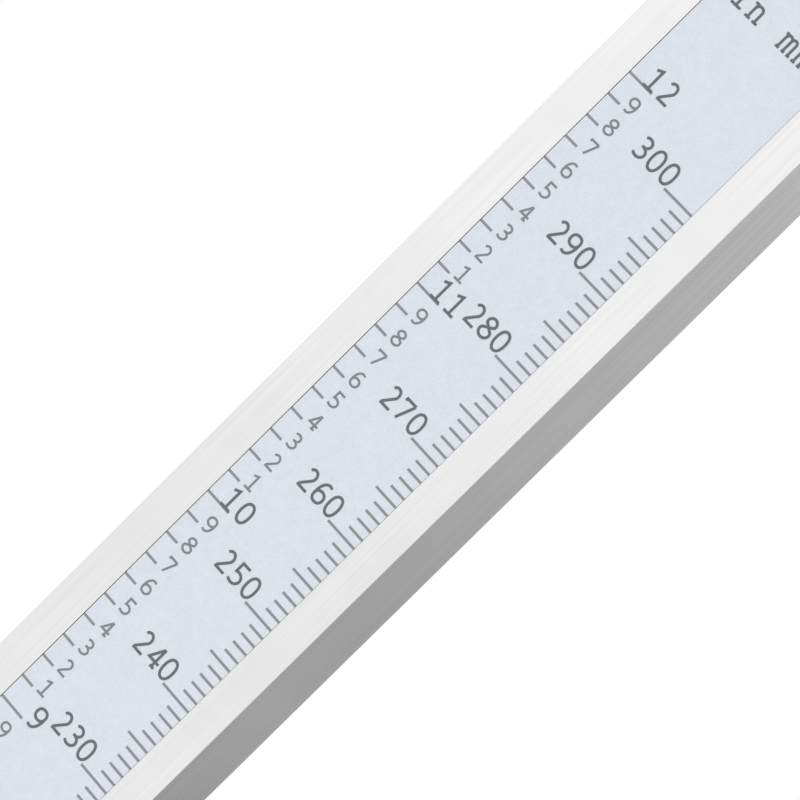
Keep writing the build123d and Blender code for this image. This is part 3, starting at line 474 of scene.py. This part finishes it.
def ring(centre, radii, steps=28, squareness=0.88):
    """Closed loop, a little squarer than an ellipse."""
    points = []
    for i in range(steps):
        a = 2 * math.pi * i / steps
        c, s = math.cos(a), math.sin(a)
        x = math.copysign(abs(c) ** squareness, c)
        z = math.copysign(abs(s) ** squareness, s)
        points.append((centre[0] + radii[0] * x, centre[1] + radii[1] * z))
    return points + [points[0]]


def rectangle(x, z):
    """Corners between (low, high) pairs, counter-clockwise."""
    return [(x[0], z[0]), (x[1], z[0]), (x[1], z[1]), (x[0], z[1])]


def rounded_loop(x, z, radius, steps=6):
    """Closed rectangular loop between (low, high) pairs, with round corners."""
    centres = rectangle((x[0] + radius, x[1] - radius), (z[0] + radius, z[1] - radius))
    points = []
    for centre, start in zip(centres, (180, 270, 0, 90)):
        points += arc(centre, (radius, radius), start, start + 90, steps)
    return points + [points[0]]


def placed(origin, points):
    """Points in millimetres from an origin that is in metres."""
    return [(origin[0] + x * MM, origin[1] + z * MM) for x, z in points]


# ---------------------------------------------------------------- letters and figures
SIX = [ring((0.53, 0.275), (0.49, 0.275)), arc((0.66, 0.42), (0.62, 0.58), 64, 180) + [(0.04, 0.275)]]
WAIST = (0.49, 0.535)

# Centre lines of each glyph's strokes, in a box one wide and one high.
GLYPHS = {
    "0": [ring((0.5, 0.5), (0.5, 0.5))],
    "1": [[(0.05, 0.86), (0.56, 1.0), (0.56, 0.0)], [(0.0, 0.0), (1.02, 0.0)]],
    "2": [arc((0.45, 0.72), (0.42, 0.28), 150, -32) + [(0.07, 0.05)], [(-0.03, 0.0), (1.04, 0.0)]],
    "3": [
        arc((0.42, 0.765), (0.46, 0.235), 138, -84) + [(0.26, 0.53)],
        arc((0.40, 0.27), (0.54, 0.26), 86, -140),
    ],
    "4": [
        [(0.785, 0.0), (0.785, 1.0)],
        [(0.745, 0.985), (0.07, 0.26), (1.18, 0.26)],
        [(0.6, 0.0), (1.07, 0.0)],
    ],
    "5": [
        [(0.97, 1.0), (0.16, 1.0), (0.15, 0.54)]
        + arc((0.40, 0.285), (0.56, 0.285), 100, -120)
        + [(-0.04, 0.07)]
    ],
    "6": SIX,
    "7": [[(-0.03, 0.86), (0.0, 0.985), (1.0, 0.985)], [(0.985, 0.97), (0.3, 0.0)]],
    "8": [
        [WAIST] + arc((0.49, 0.77), (0.43, 0.23), -25, 205) + [WAIST],
        [WAIST] + arc((0.485, 0.265), (0.515, 0.265), 155, 385) + [WAIST],
    ],
    "9": [[(1 - x, 1 - z) for x, z in stroke] for stroke in SIX],
}

# Slab letters: x-height 1, so the dot of the i stands above the box.
SLABS = {
    "i": [[(0.2, 1.0), (0.55, 1.0), (0.55, 0.0)], [(0.08, 0.0), (1.0, 0.0)], [(0.44, 1.42), (0.66, 1.42)]],
    "n": [
        [(0.0, 1.0), (0.22, 1.0), (0.22, 0.0)],
        [(0.22, 0.72)] + arc((0.5, 0.72), (0.27, 0.27), 140, 0, 8) + [(0.77, 0.0)],
        [(0.0, 0.0), (0.42, 0.0)],
        [(0.6, 0.0), (1.0, 0.0)],
    ],
    "m": [
        [(0.0, 1.0), (0.14, 1.0), (0.14, 0.0)],
        [(0.14, 0.74)] + arc((0.33, 0.78), (0.19, 0.22), 140, 0, 8) + [(0.52, 0.0)],
        [(0.52, 0.74)] + arc((0.69, 0.78), (0.18, 0.22), 140, 0, 8) + [(0.87, 0.0)],
        [(0.0, 0.0), (0.26, 0.0)],
        [(0.42, 0.0), (0.64, 0.0)],
        [(0.78, 0.0), (1.0, 0.0)],
    ],
}

# ---------------------------------------------------------------- flat printing
PRINT_THICKNESS = 0.012
LAYERS = 5  # shapes take turns at this many depths, so that no two crossing ones lie in one plane
LAYER_STEP = 0.0008
MITRE_LIMIT = 0.35  # cosine of half a corner's turn, below which its mitre grows no longer


class Print:
    """Thin raised shapes on a face that looks towards -Y. Thicknesses are in millimetres."""

    def __init__(self, y, thickness=PRINT_THICKNESS):
        self.y = y
        self.thickness = thickness * MM
        self.layer = 0
        self.vertices = []
        self.faces = []

    def next_front(self):
        front = self.y - self.thickness - (self.layer % LAYERS) * LAYER_STEP * MM
        self.layer += 1
        return front

    def slab(self, outline):
        """Closed convex outline, counter-clockwise as seen from -Y, in metres."""
        front = self.next_front()
        first = len(self.vertices)
        count = len(outline)
        self.vertices += [(x, front, z) for x, z in outline] + [(x, self.y, z) for x, z in outline]
        self.faces.append([first + i for i in range(count)])
        self.faces.append([first + count + i for i in reversed(range(count))])
        for i in range(count):
            j = (i + 1) % count
            self.faces.append([first + j, first + i, first + count + i, first + count + j])

    def stroke(self, points, width):
        """Line of constant width through points in metres; a loop repeats its first point at the end."""
        closed = points[0] == points[-1]
        count = len(points)
        front = self.next_front()
        first = len(self.vertices)
        for i, (x, z) in enumerate(points):
            before = points[i - 1] if i else (points[-2] if closed else points[0])
            after = points[i + 1] if i < count - 1 else (points[1] if closed else points[-1])
            a = Vector((x - before[0], z - before[1]))
            b = Vector((after[0] - x, after[1] - z))
            a = a.normalized() if a.length else b.normalized()
            b = b.normalized() if b.length else a
            across = Vector((-a.y - b.y, a.x + b.x)).normalized()
            side = across * (width / 2 / max(MITRE_LIMIT, across.dot(Vector((-a.y, a.x)))))
            for y in (front, self.y):
                self.vertices += [(x + side.x, y, z + side.y), (x - side.x, y, z - side.y)]
        for i in range(count - 1):
            a = first + 4 * i
            b = a + 4
            self.faces += [[a, a + 1, b + 1, b], [a + 2, b + 2, b + 3, a + 3]]
            self.faces += [[a, b, b + 2, a + 2], [a + 1, a + 3, b + 3, b + 1]]
        if not closed:
            last = first + 4 * (count - 1)
            self.faces += [[first, first + 2, first + 3, first + 1], [last, last + 1, last + 3, last + 2]]

    def glyph(self, strokes, foot, width, height, line):
        """Glyph whose ink is width by height, standing on the middle of its foot."""
        for stroke in strokes:
            points = [((x - 0.5) * (width - line), line / 2 + z * (height - line)) for x, z in stroke]
            self.stroke(placed(foot, points), line * MM)

    def finish(self, name, body, slot, material):
        mesh = bpy.data.meshes.new(name)
        mesh.from_pydata(self.vertices, [], self.faces)
        mesh.validate()
        return add_piece(name, mesh, body, material)


# ---------------------------------------------------------------- the printed scale
# Sizes are in millimetres.
LINE = 0.238  # thickness of a graduation
MM_MARKS = {10: 3.5, 5: 2.62, 1: 1.75}  # every so many millimetres: length of the mark
INCH_MARK = 2.84
TENTH_MARK = 1.44
DIGIT = {"width": 1.36, "height": 2.18, "line": 0.258}
SMALL_DIGIT = {"width": 1.09, "height": 1.62, "line": 0.208}
MM_DIGIT_PLACES = (9.10, 7.455, 5.81)  # units, tens and hundreds, from the foil's left edge
INCH_DIGIT_PLACES = (3.92, 2.15)
TENTH_DIGIT_PLACE = 2.41
DIGIT_RISE = 0.045  # the millimetre figures stand this far above their mark's middle
INCH_DIGIT_RISE = -0.035
SMALL_DIGIT_DRIFT = 0.018  # the small figures are set this much closer together than their marks
FIGURE_THICKNESS = 0.017  # the large figures lie in front of the inch marks that some of them cross
HEADER_RISE = 314.93  # above the scale's zero
# Each letter's place from the foil's left edge, and its width.
HEADER = (("i", 2.4, 1.5), ("n", 4.33, 1.72), ("m", 8.3, 1.92), ("m", 10.23, 1.92))
HEADER_LETTER = {"height": 1.65, "line": 0.25}


def scale_printing():
    left = foil_low[0]
    right = foil_high[0]
    marks, small = Print(foil_low[1]), Print(foil_low[1])
    figures = Print(foil_low[1], FIGURE_THICKNESS)
    half = LINE / 2 * MM
    for value in range(MEASURING_RANGE + 1):
        step = next(s for s in MM_MARKS if value % s == 0)
        z = SCALE_ZERO + value * MM
        marks.slab(rectangle((right - MM_MARKS[step] * MM, right), (z - half, z + half)))
        if step == 10:
            for place, digit in zip(MM_DIGIT_PLACES, reversed(str(value))):
                figures.glyph(GLYPHS[digit], (left + place * MM, z + DIGIT_RISE * MM), **DIGIT)
    for tenth in range(10 * INCH_RANGE + 1):
        z = SCALE_ZERO + tenth * INCH / 10
        whole = tenth % 10 == 0
        length = INCH_MARK if whole else TENTH_MARK
        marks.slab(rectangle((left, left + length * MM), (z - half, z + half)))
        if whole:
            for place, digit in zip(INCH_DIGIT_PLACES, reversed(str(tenth // 10))):
                figures.glyph(GLYPHS[digit], (left + place * MM, z + INCH_DIGIT_RISE * MM), **DIGIT)
        else:
            foot = (left + TENTH_DIGIT_PLACE * MM, z - SMALL_DIGIT_DRIFT * (tenth % 10) * MM)
            small.glyph(GLYPHS[str(tenth % 10)], foot, **SMALL_DIGIT)
    for letter, place, width in HEADER:
        foot = (left + place * MM, SCALE_ZERO + HEADER_RISE * MM)
        figures.glyph(SLABS[letter], foot, width, **HEADER_LETTER)
    marks.finish("scale_marks", "stand", "foil", ink("mark_ink", brightness=0.272))
    figures.finish("scale_figures", "stand", "foil", ink("figure_ink", brightness=0.148))
    small.finish("tenth_figures", "stand", "foil", ink("small_ink", brightness=0.235))


# ---------------------------------------------------------------- display
SEGMENTS = {  # middle of each segment in a box one wide and two high, and whether it stands upright
    "a": (0.5, 2.0, False), "b": (1.0, 1.5, True), "c": (1.0, 0.5, True), "d": (0.5, 0.0, False),
    "e": (0.0, 0.5, True), "f": (0.0, 1.5, True), "g": (0.5, 1.0, False),
}
LIT_SEGMENTS = {
    "0": "abcdef", "1": "bc", "2": "abdeg", "3": "abcdg", "4": "bcfg",
    "5": "acdfg", "6": "acdefg", "7": "abc", "8": "abcdefg", "9": "abcdfg", " ": "",
}
# Places are in millimetres from the window's middle, before the slant.
LCD_DIGIT = (3.7, 9.2)  # width and height of a figure between the segments' centre lines
LCD_STROKE = 0.95
LCD_GAP = 0.16
LCD_PITCH = 5.5
LCD_PLACES = 5
LCD_DECIMALS = 2
LCD_LEFT = -15.7
LCD_FOOT = -4.9
LCD_SLANT = 0.07
LCD_POINT = 0.55 * LCD_STROKE  # half the side of the decimal point
LCD_UNITS = {"mm": -0.4, "in": 7.4}  # how far each unit's foot is above the figures' foot
LCD_UNIT_OFFSET = 1.0  # from the place after the last figure to a unit's first letter
LCD_UNIT_PITCH = 1.75
LCD_LETTER = {"width": 1.5, "height": 1.5, "line": 0.22}
LIT_THICKNESS = 0.03
IDLE_THICKNESS = 0.02


def segment(centre, half_length, half_width, upright):
    """Outline of one display segment: a bar with pointed ends, counter-clockwise."""
    inner = half_length - half_width
    bar = [
        (-half_length, 0.0), (-inner, -half_width), (inner, -half_width),
        (half_length, 0.0), (inner, half_width), (-inner, half_width),
    ]
    if upright:
        bar = [(-z, x) for x, z in bar]
    return [(centre[0] + x, centre[1] + z) for x, z in bar]


def display_figures():
    """The reading at rest in dark segments, with the idle segments just showing."""
    lit, idle = Print(panel_low[1], LIT_THICKNESS), Print(panel_low[1], IDLE_THICKNESS)
    middle = ((lens_low[0] + lens_high[0]) / 2, (lens_low[2] + lens_high[2]) / 2)

    def slanted(points):
        return placed(middle, [(x + LCD_SLANT * (z - LCD_FOOT), z) for x, z in points])

    shown = f"{READING:{LCD_PLACES + 1}.{LCD_DECIMALS}f}".replace(".", "")
    for i, digit in enumerate(shown):
        left = LCD_LEFT + i * LCD_PITCH
        for key, (x, z, upright) in SEGMENTS.items():
            centre = (left + x * LCD_DIGIT[0], LCD_FOOT + z * LCD_DIGIT[1] / 2)
            half_length = (LCD_DIGIT[1] / 4 if upright else LCD_DIGIT[0] / 2) - LCD_GAP
            target = lit if key in LIT_SEGMENTS[digit] else idle
            target.slab(slanted(segment(centre, half_length, LCD_STROKE / 2, upright)))
    point_x = LCD_LEFT + (LCD_PLACES - LCD_DECIMALS) * LCD_PITCH - (LCD_PITCH - LCD_DIGIT[0]) / 2
    point = ((point_x - LCD_POINT, point_x + LCD_POINT), (LCD_FOOT - LCD_POINT, LCD_FOOT + LCD_POINT))
    lit.slab(slanted(rectangle(*point)))
    for target, unit in ((lit, "mm"), (idle, "in")):
        for i, letter in enumerate(unit):
            x = LCD_LEFT + LCD_PLACES * LCD_PITCH + LCD_UNIT_OFFSET + i * LCD_UNIT_PITCH
            foot = slanted([(x, LCD_FOOT + LCD_UNITS[unit])])[0]
            target.glyph(SLABS[letter], foot, **LCD_LETTER)
    lit.finish("display_reading", "slider", "lcd", ink("lcd_ink", brightness=0.02))
    idle_ink = ink("lcd_idle_ink", brightness=0.30, shade=(0.98, 1.06, 0.92))
    idle.finish("display_idle_segments", "slider", "lcd", idle_ink)


# ---------------------------------------------------------------- legends and cover arrow
# Sizes are in millimetres. Each sign is drawn about a point above its button's centre.
POWER_RISE = 6.9
POWER_RADIUS = 0.95
POWER_GAP = (122, 418)  # degrees between which the ring is drawn
POWER_LINE = 0.27
POWER_BAR = ((-0.14, 0.14), (0.1, 1.3))
UNIT_RISE = 6.3
UNIT_LETTERS = (("i", -3.1, 0.95), ("n", -1.75, 1.15), ("m", 1.75, 1.5), ("m", 3.45, 1.5))
UNIT_LETTER = {"height": 1.3, "line": 0.2}
UNIT_SLASH = [(-0.45, -0.3), (0.45, 1.7)]
ZERO_RISE = 5.9
ZERO_FIGURE = {"width": 1.3, "height": 2.0, "line": 0.26}
HOLD_RISE = 6.0
HOLD_BARS = ((-0.72, -0.28), (0.28, 0.72))
HOLD_HEIGHT = (-0.8, 0.8)
SET_RISE = 6.0
SET_TRIANGLE = [(-0.9, -0.75), (0.9, -0.75), (0.0, 0.75)]
BORDER = {"inset": 0.9, "corner": 1.6, "line": 0.18}  # the line round the label
WINDOW_LINE = {"inset": -0.8, "corner": 2.2, "line": 0.3}  # the line round the window, outside it
ARROW_PLACE = 12.5  # from the cover's left edge
ARROW = [(0.0, -2.4), (3.4, 0.0), (0.0, 2.4)]
ARROW_THICKNESS = 0.3


def above_button(name, rise):
    low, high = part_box(name)
    return (low[0] + high[0]) / 2, (low[2] + high[2]) / 2 + rise * MM


def frame_line(target, low, high, inset, corner, line):
    """Line with round corners, inside a box by an inset, or outside it by a negative one."""
    x = (low[0] + inset * MM, high[0] - inset * MM)
    z = (low[2] + inset * MM, high[2] - inset * MM)
    target.stroke(rounded_loop(x, z, corner * MM), line * MM)


def legends():
    """Signs above the buttons, and the lines that frame the label and its window."""
    dark, pale = Print(label_low[1]), Print(shell_low[1])

    power = above_button("button_on_off", POWER_RISE)
    power_ring = arc((0.0, 0.0), (POWER_RADIUS, POWER_RADIUS), *POWER_GAP, steps=24)
    dark.stroke(placed(power, power_ring), POWER_LINE * MM)
    dark.slab(placed(power, rectangle(*POWER_BAR)))

    unit = above_button("button_unit", UNIT_RISE)
    for letter, shift, width in UNIT_LETTERS:
        dark.glyph(SLABS[letter], (unit[0] + shift * MM, unit[1]), width, **UNIT_LETTER)
    dark.stroke(placed(unit, UNIT_SLASH), UNIT_LETTER["line"] * MM)

    dark.glyph(GLYPHS["0"], above_button("button_zero", ZERO_RISE), **ZERO_FIGURE)

    hold = above_button("button_hold", HOLD_RISE)
    for bar in HOLD_BARS:
        pale.slab(placed(hold, rectangle(bar, HOLD_HEIGHT)))
    pale.slab(placed(above_button("button_set", SET_RISE), SET_TRIANGLE))

    frame_line(dark, label_low, label_high, **BORDER)
    frame_line(dark, lens_low, lens_high, **WINDOW_LINE)
    dark.finish("label_legends", "slider", "label", ink("legend_ink", brightness=0.02))
    pale_ink = ink("pale_legend_ink", brightness=0.55, shade=(1.0, 1.0, 1.0))
    pale.finish("housing_legends", "slider", "label", pale_ink)


def cover_arrow(material):
    """Raised arrow that shows which way the battery cover slides."""
    arrow = Print(door_low[1], ARROW_THICKNESS)
    tail = (door_low[0] + ARROW_PLACE * MM, (door_low[2] + door_high[2]) / 2)
    arrow.slab(placed(tail, ARROW))
    arrow.finish("cover_arrow", "battery_cover", "housing", material)


# ---------------------------------------------------------------- fine-adjusting screw
THREAD_RADIUS = 2.0 * MM
THREAD_DEPTH = 0.29 * MM
THREAD_PITCH = 0.5 * MM
THREAD_PROFILE = (1.0, 1.0, 0.0, 0.0)  # crest and root, at even steps along one pitch
THREAD_SIDES = 24
THREAD_START = 1.5  # pitches below the foot, where the untrimmed helix begins
CORE_RADIUS = THREAD_RADIUS - THREAD_DEPTH
COLLAR_HEIGHT = 3.0 * MM
COLLAR_TOP = 19.0 * MM  # above the screw's lower end
TIP_LENGTH = 0.8 * MM
END_CHAMFER = 0.4 * MM
LATHE_SIDES = 48
SHARP_EDGE = math.radians(30)
CUT_TOLERANCE = 1e-9


def smooth(mesh):
    """Shades round faces smooth and keeps sharp edges sharp."""
    mesh.shade_smooth()
    mesh.set_sharp_from_angle(angle=SHARP_EDGE)
    return mesh


def circle(axis, radius, sides):
    """(x, y) points round a vertical axis."""
    turns = [2 * math.pi * i / sides for i in range(sides)]
    return [(axis[0] + radius * math.cos(a), axis[1] + radius * math.sin(a)) for a in turns]


def lathe(name, profile, axis):
    """Closed solid turned about a vertical axis; profile is (radius, height) pairs, upwards."""
    vertices = [(x, y, z) for radius, z in profile for x, y in circle(axis, radius, LATHE_SIDES)]
    top = len(vertices) - LATHE_SIDES
    faces = [list(reversed(range(LATHE_SIDES))), [top + i for i in range(LATHE_SIDES)]]
    for start in range(0, top, LATHE_SIDES):
        for i in range(LATHE_SIDES):
            low, low_next = start + i, start + (i + 1) % LATHE_SIDES
            faces.append([low, low_next, low_next + LATHE_SIDES, low + LATHE_SIDES])
    mesh = bpy.data.meshes.new(name)
    mesh.from_pydata(vertices, [], faces)
    return smooth(mesh)


def thread(name, axis, foot, top):
    """Right-handed helical thread, as a closed solid cut square at both ends."""
    steps = len(THREAD_PROFILE)
    rows = steps * (2 + math.ceil((top - foot) / THREAD_PITCH))
    climb = THREAD_PITCH / THREAD_SIDES
    form = bmesh.new()
    grid = []
    for row in range(rows + steps + 1):
        radius = THREAD_RADIUS - THREAD_DEPTH * (1 - THREAD_PROFILE[row % steps])
        start = foot + THREAD_PITCH * (row / steps - THREAD_START)
        turn = enumerate(circle(axis, radius, THREAD_SIDES))
        grid.append([form.verts.new((x, y, start + climb * i)) for i, (x, y) in turn])
    for row in range(rows):
        for i in range(THREAD_SIDES):
            last = i == THREAD_SIDES - 1
            ahead = grid[row + steps][0] if last else grid[row][i + 1]
            above = grid[row + steps + 1][0] if last else grid[row + 1][i + 1]
            form.faces.new([grid[row][i], ahead, above, grid[row + 1][i]])
    for z, direction in ((foot, -1), (top, 1)):
        cut = bmesh.ops.bisect_plane(
            form, geom=form.verts[:] + form.edges[:] + form.faces[:], dist=CUT_TOLERANCE,
            plane_co=(0, 0, z), plane_no=(0, 0, direction), clear_outer=True,
        )
        rim = [e for e in cut["geom_cut"] if isinstance(e, bmesh.types.BMEdge)]
        bmesh.ops.edgeloop_fill(form, edges=rim)
    bmesh.ops.delete(form, geom=[v for v in form.verts if not v.link_faces], context="VERTS")
    bmesh.ops.recalc_face_normals(form, faces=form.faces[:])
    mesh = bpy.data.meshes.new(name)
    form.to_mesh(mesh)
    form.free()
    return smooth(mesh)


def fine_screw(material):
    """The fine-adjusting screw with its real thread, drilled for the pin that holds it in the lug."""
    axis = ((screw_low[0] + screw_high[0]) / 2, 0.0)
    collar_radius = (screw_high[1] - screw_low[1]) / 2
    collar_top = screw_low[2] + COLLAR_TOP
    collar_foot = collar_top - COLLAR_HEIGHT
    shank_profile = [
        (THREAD_RADIUS - END_CHAMFER, screw_low[2]), (THREAD_RADIUS, screw_low[2] + END_CHAMFER),
        (THREAD_RADIUS, collar_foot), (collar_radius, collar_foot), (collar_radius, collar_top),
    ]
    shank_mesh = lathe("fine_screw_shank", shank_profile, axis)
    shank = add_piece("fine_screw_shank", shank_mesh, "slider", material)
    hole = shank.modifiers.new("pin_hole", "BOOLEAN")
    hole.object = frame["nodes"]["fine_screw_pin"]
    drilled = shank.evaluated_get(bpy.context.evaluated_depsgraph_get())
    shank.data = bpy.data.meshes.new_from_object(drilled)
    shank.modifiers.clear()
    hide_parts("fine_adjust_screw")
    tip_foot = screw_high[2] - TIP_LENGTH
    tip_profile = [
        (CORE_RADIUS, tip_foot), (CORE_RADIUS, screw_high[2] - END_CHAMFER),
        (CORE_RADIUS - END_CHAMFER, screw_high[2]),
    ]
    tip = lathe("fine_screw_tip", tip_profile, axis)
    add_piece("fine_screw_tip", tip, "slider", material)
    turns = thread("fine_screw_thread", axis, collar_top, tip_foot)
    add_piece("fine_screw_thread", turns, "slider", material)


# ---------------------------------------------------------------- stage, in metres
FLOOR_RADIUS = 0.8
FLOOR_SIDES = 96
FLOOR_HEIGHT = -0.1 * MM
FLOOR_FADE = (0.25, 0.75)  # the floor fades into the white backdrop between these radii
STUDIO_FRONT = Vector((-0.55, -0.78, 0.30))
# Each ramp is the range of a direction's measure, and the values that it maps to.
STUDIO_RAMP = (-0.8, 0.75, 0.49, 0.965)  # from facing away to facing the front: its brightness
RISE_RAMP = (-0.8, 0.75, 0.75, 0.28)  # likewise, what a unit of height adds to that
HEIGHT_RAMP = (-0.5, 0.5, -0.5, 0.5)  # height counts between these
FLAG_RAMP = (-1.0, -0.66, 0.7, 1.0)  # a grey flag at the far left, so that metal stands out from white
LIGHTS = {  # place, side of its square and power
    "key": ((-1.3, -1.15, 1.45), 1.1, 7.2),
    "fill": ((1.5, -0.9, 0.7), 0.9, 2.5),
    "top": ((0.1, 0.5, 1.7), 1.0, 5.0),
}
LIGHTS_TARGET = Vector((0.0, 0.0, 0.22))


def add_floor():
    surface = Surface("floor")
    grain = surface.noise(0.02, detail=2.0)
    surface.vary(grain, (0.86, 0.865, 0.87), (0.90, 0.90, 0.90), roughness=(0.5, 0.6))
    distance = surface.add("ShaderNodeVectorMath", {0: surface.place}, operation="LENGTH")
    surface.set("Alpha", surface.spread(distance.outputs["Value"], *FLOOR_FADE, 1.0, 0.0))
    mesh = bpy.data.meshes.new("floor")
    rim = [(x, y, FLOOR_HEIGHT) for x, y in circle((0.0, 0.0), FLOOR_RADIUS, FLOOR_SIDES)]
    mesh.from_pydata(rim, [], [list(range(FLOOR_SIDES))])
    mesh.materials.append(surface.material)
    floor = bpy.data.objects.new("floor", mesh)
    bpy.context.scene.collection.objects.link(floor)


def add_world():
    """White to the eye; for reflections, a studio that is brightest at the front left and overhead."""
    world = bpy.data.worlds.new("studio")
    bpy.context.scene.world = world
    world.use_nodes = True
    nodes, links = world.node_tree.nodes, world.node_tree.links
    nodes.clear()

    def add(kind, *sources, **settings):
        """Node with its first inputs linked to the sources."""
        node = nodes.new(kind)
        for key, value in settings.items():
            setattr(node, key, value)
        for i, source in enumerate(sources):
            links.new(source, node.inputs[i])
        return node

    def ramp(value, settings, interpolation="SMOOTHSTEP"):
        node = add("ShaderNodeMapRange", value, interpolation_type=interpolation)
        for i, number in enumerate(settings, start=1):
            node.inputs[i].default_value = number
        return node.outputs[0]

    direction = add("ShaderNodeTexCoord").outputs["Generated"]
    towards = add("ShaderNodeVectorMath", direction, operation="DOT_PRODUCT")
    towards.inputs[1].default_value = STUDIO_FRONT.normalized()
    facing = towards.outputs["Value"]
    parts = add("ShaderNodeSeparateXYZ", direction).outputs
    height = ramp(parts["Z"], HEIGHT_RAMP, "LINEAR")
    rise = add("ShaderNodeMath", height, ramp(facing, RISE_RAMP), operation="MULTIPLY")
    total = add("ShaderNodeMath", ramp(facing, STUDIO_RAMP), rise.outputs[0], operation="ADD")
    studio = add("ShaderNodeBackground", total.outputs[0], ramp(parts["X"], FLAG_RAMP))
    white = add("ShaderNodeBackground")
    white.inputs["Color"].default_value = (1, 1, 1, 1)
    seen = add("ShaderNodeLightPath").outputs["Is Camera Ray"]
    mix = add("ShaderNodeMixShader", seen, studio.outputs[0], white.outputs[0])
    add("ShaderNodeOutputWorld", mix.outputs[0])


def add_light(name, place, side, power):
    data = bpy.data.lights.new(name, "AREA")
    data.size = side
    data.energy = power
    light = bpy.data.objects.new(name, data)
    bpy.context.scene.collection.objects.link(light)
    aim = (Vector(place) - LIGHTS_TARGET).to_track_quat("Z", "Y").to_matrix().to_4x4()
    light.matrix_world = Matrix.Translation(place) @ aim


add_camera()
made = dress_frame()
scale_printing()
display_figures()
legends()
cover_arrow(made["housing"])
fine_screw(made["steel_screw"])
add_floor()
add_world()
for name, (place, side, power) in LIGHTS.items():
    add_light(name, place, side, power)
bpy.context.scene.view_settings.view_transform = "Standard"
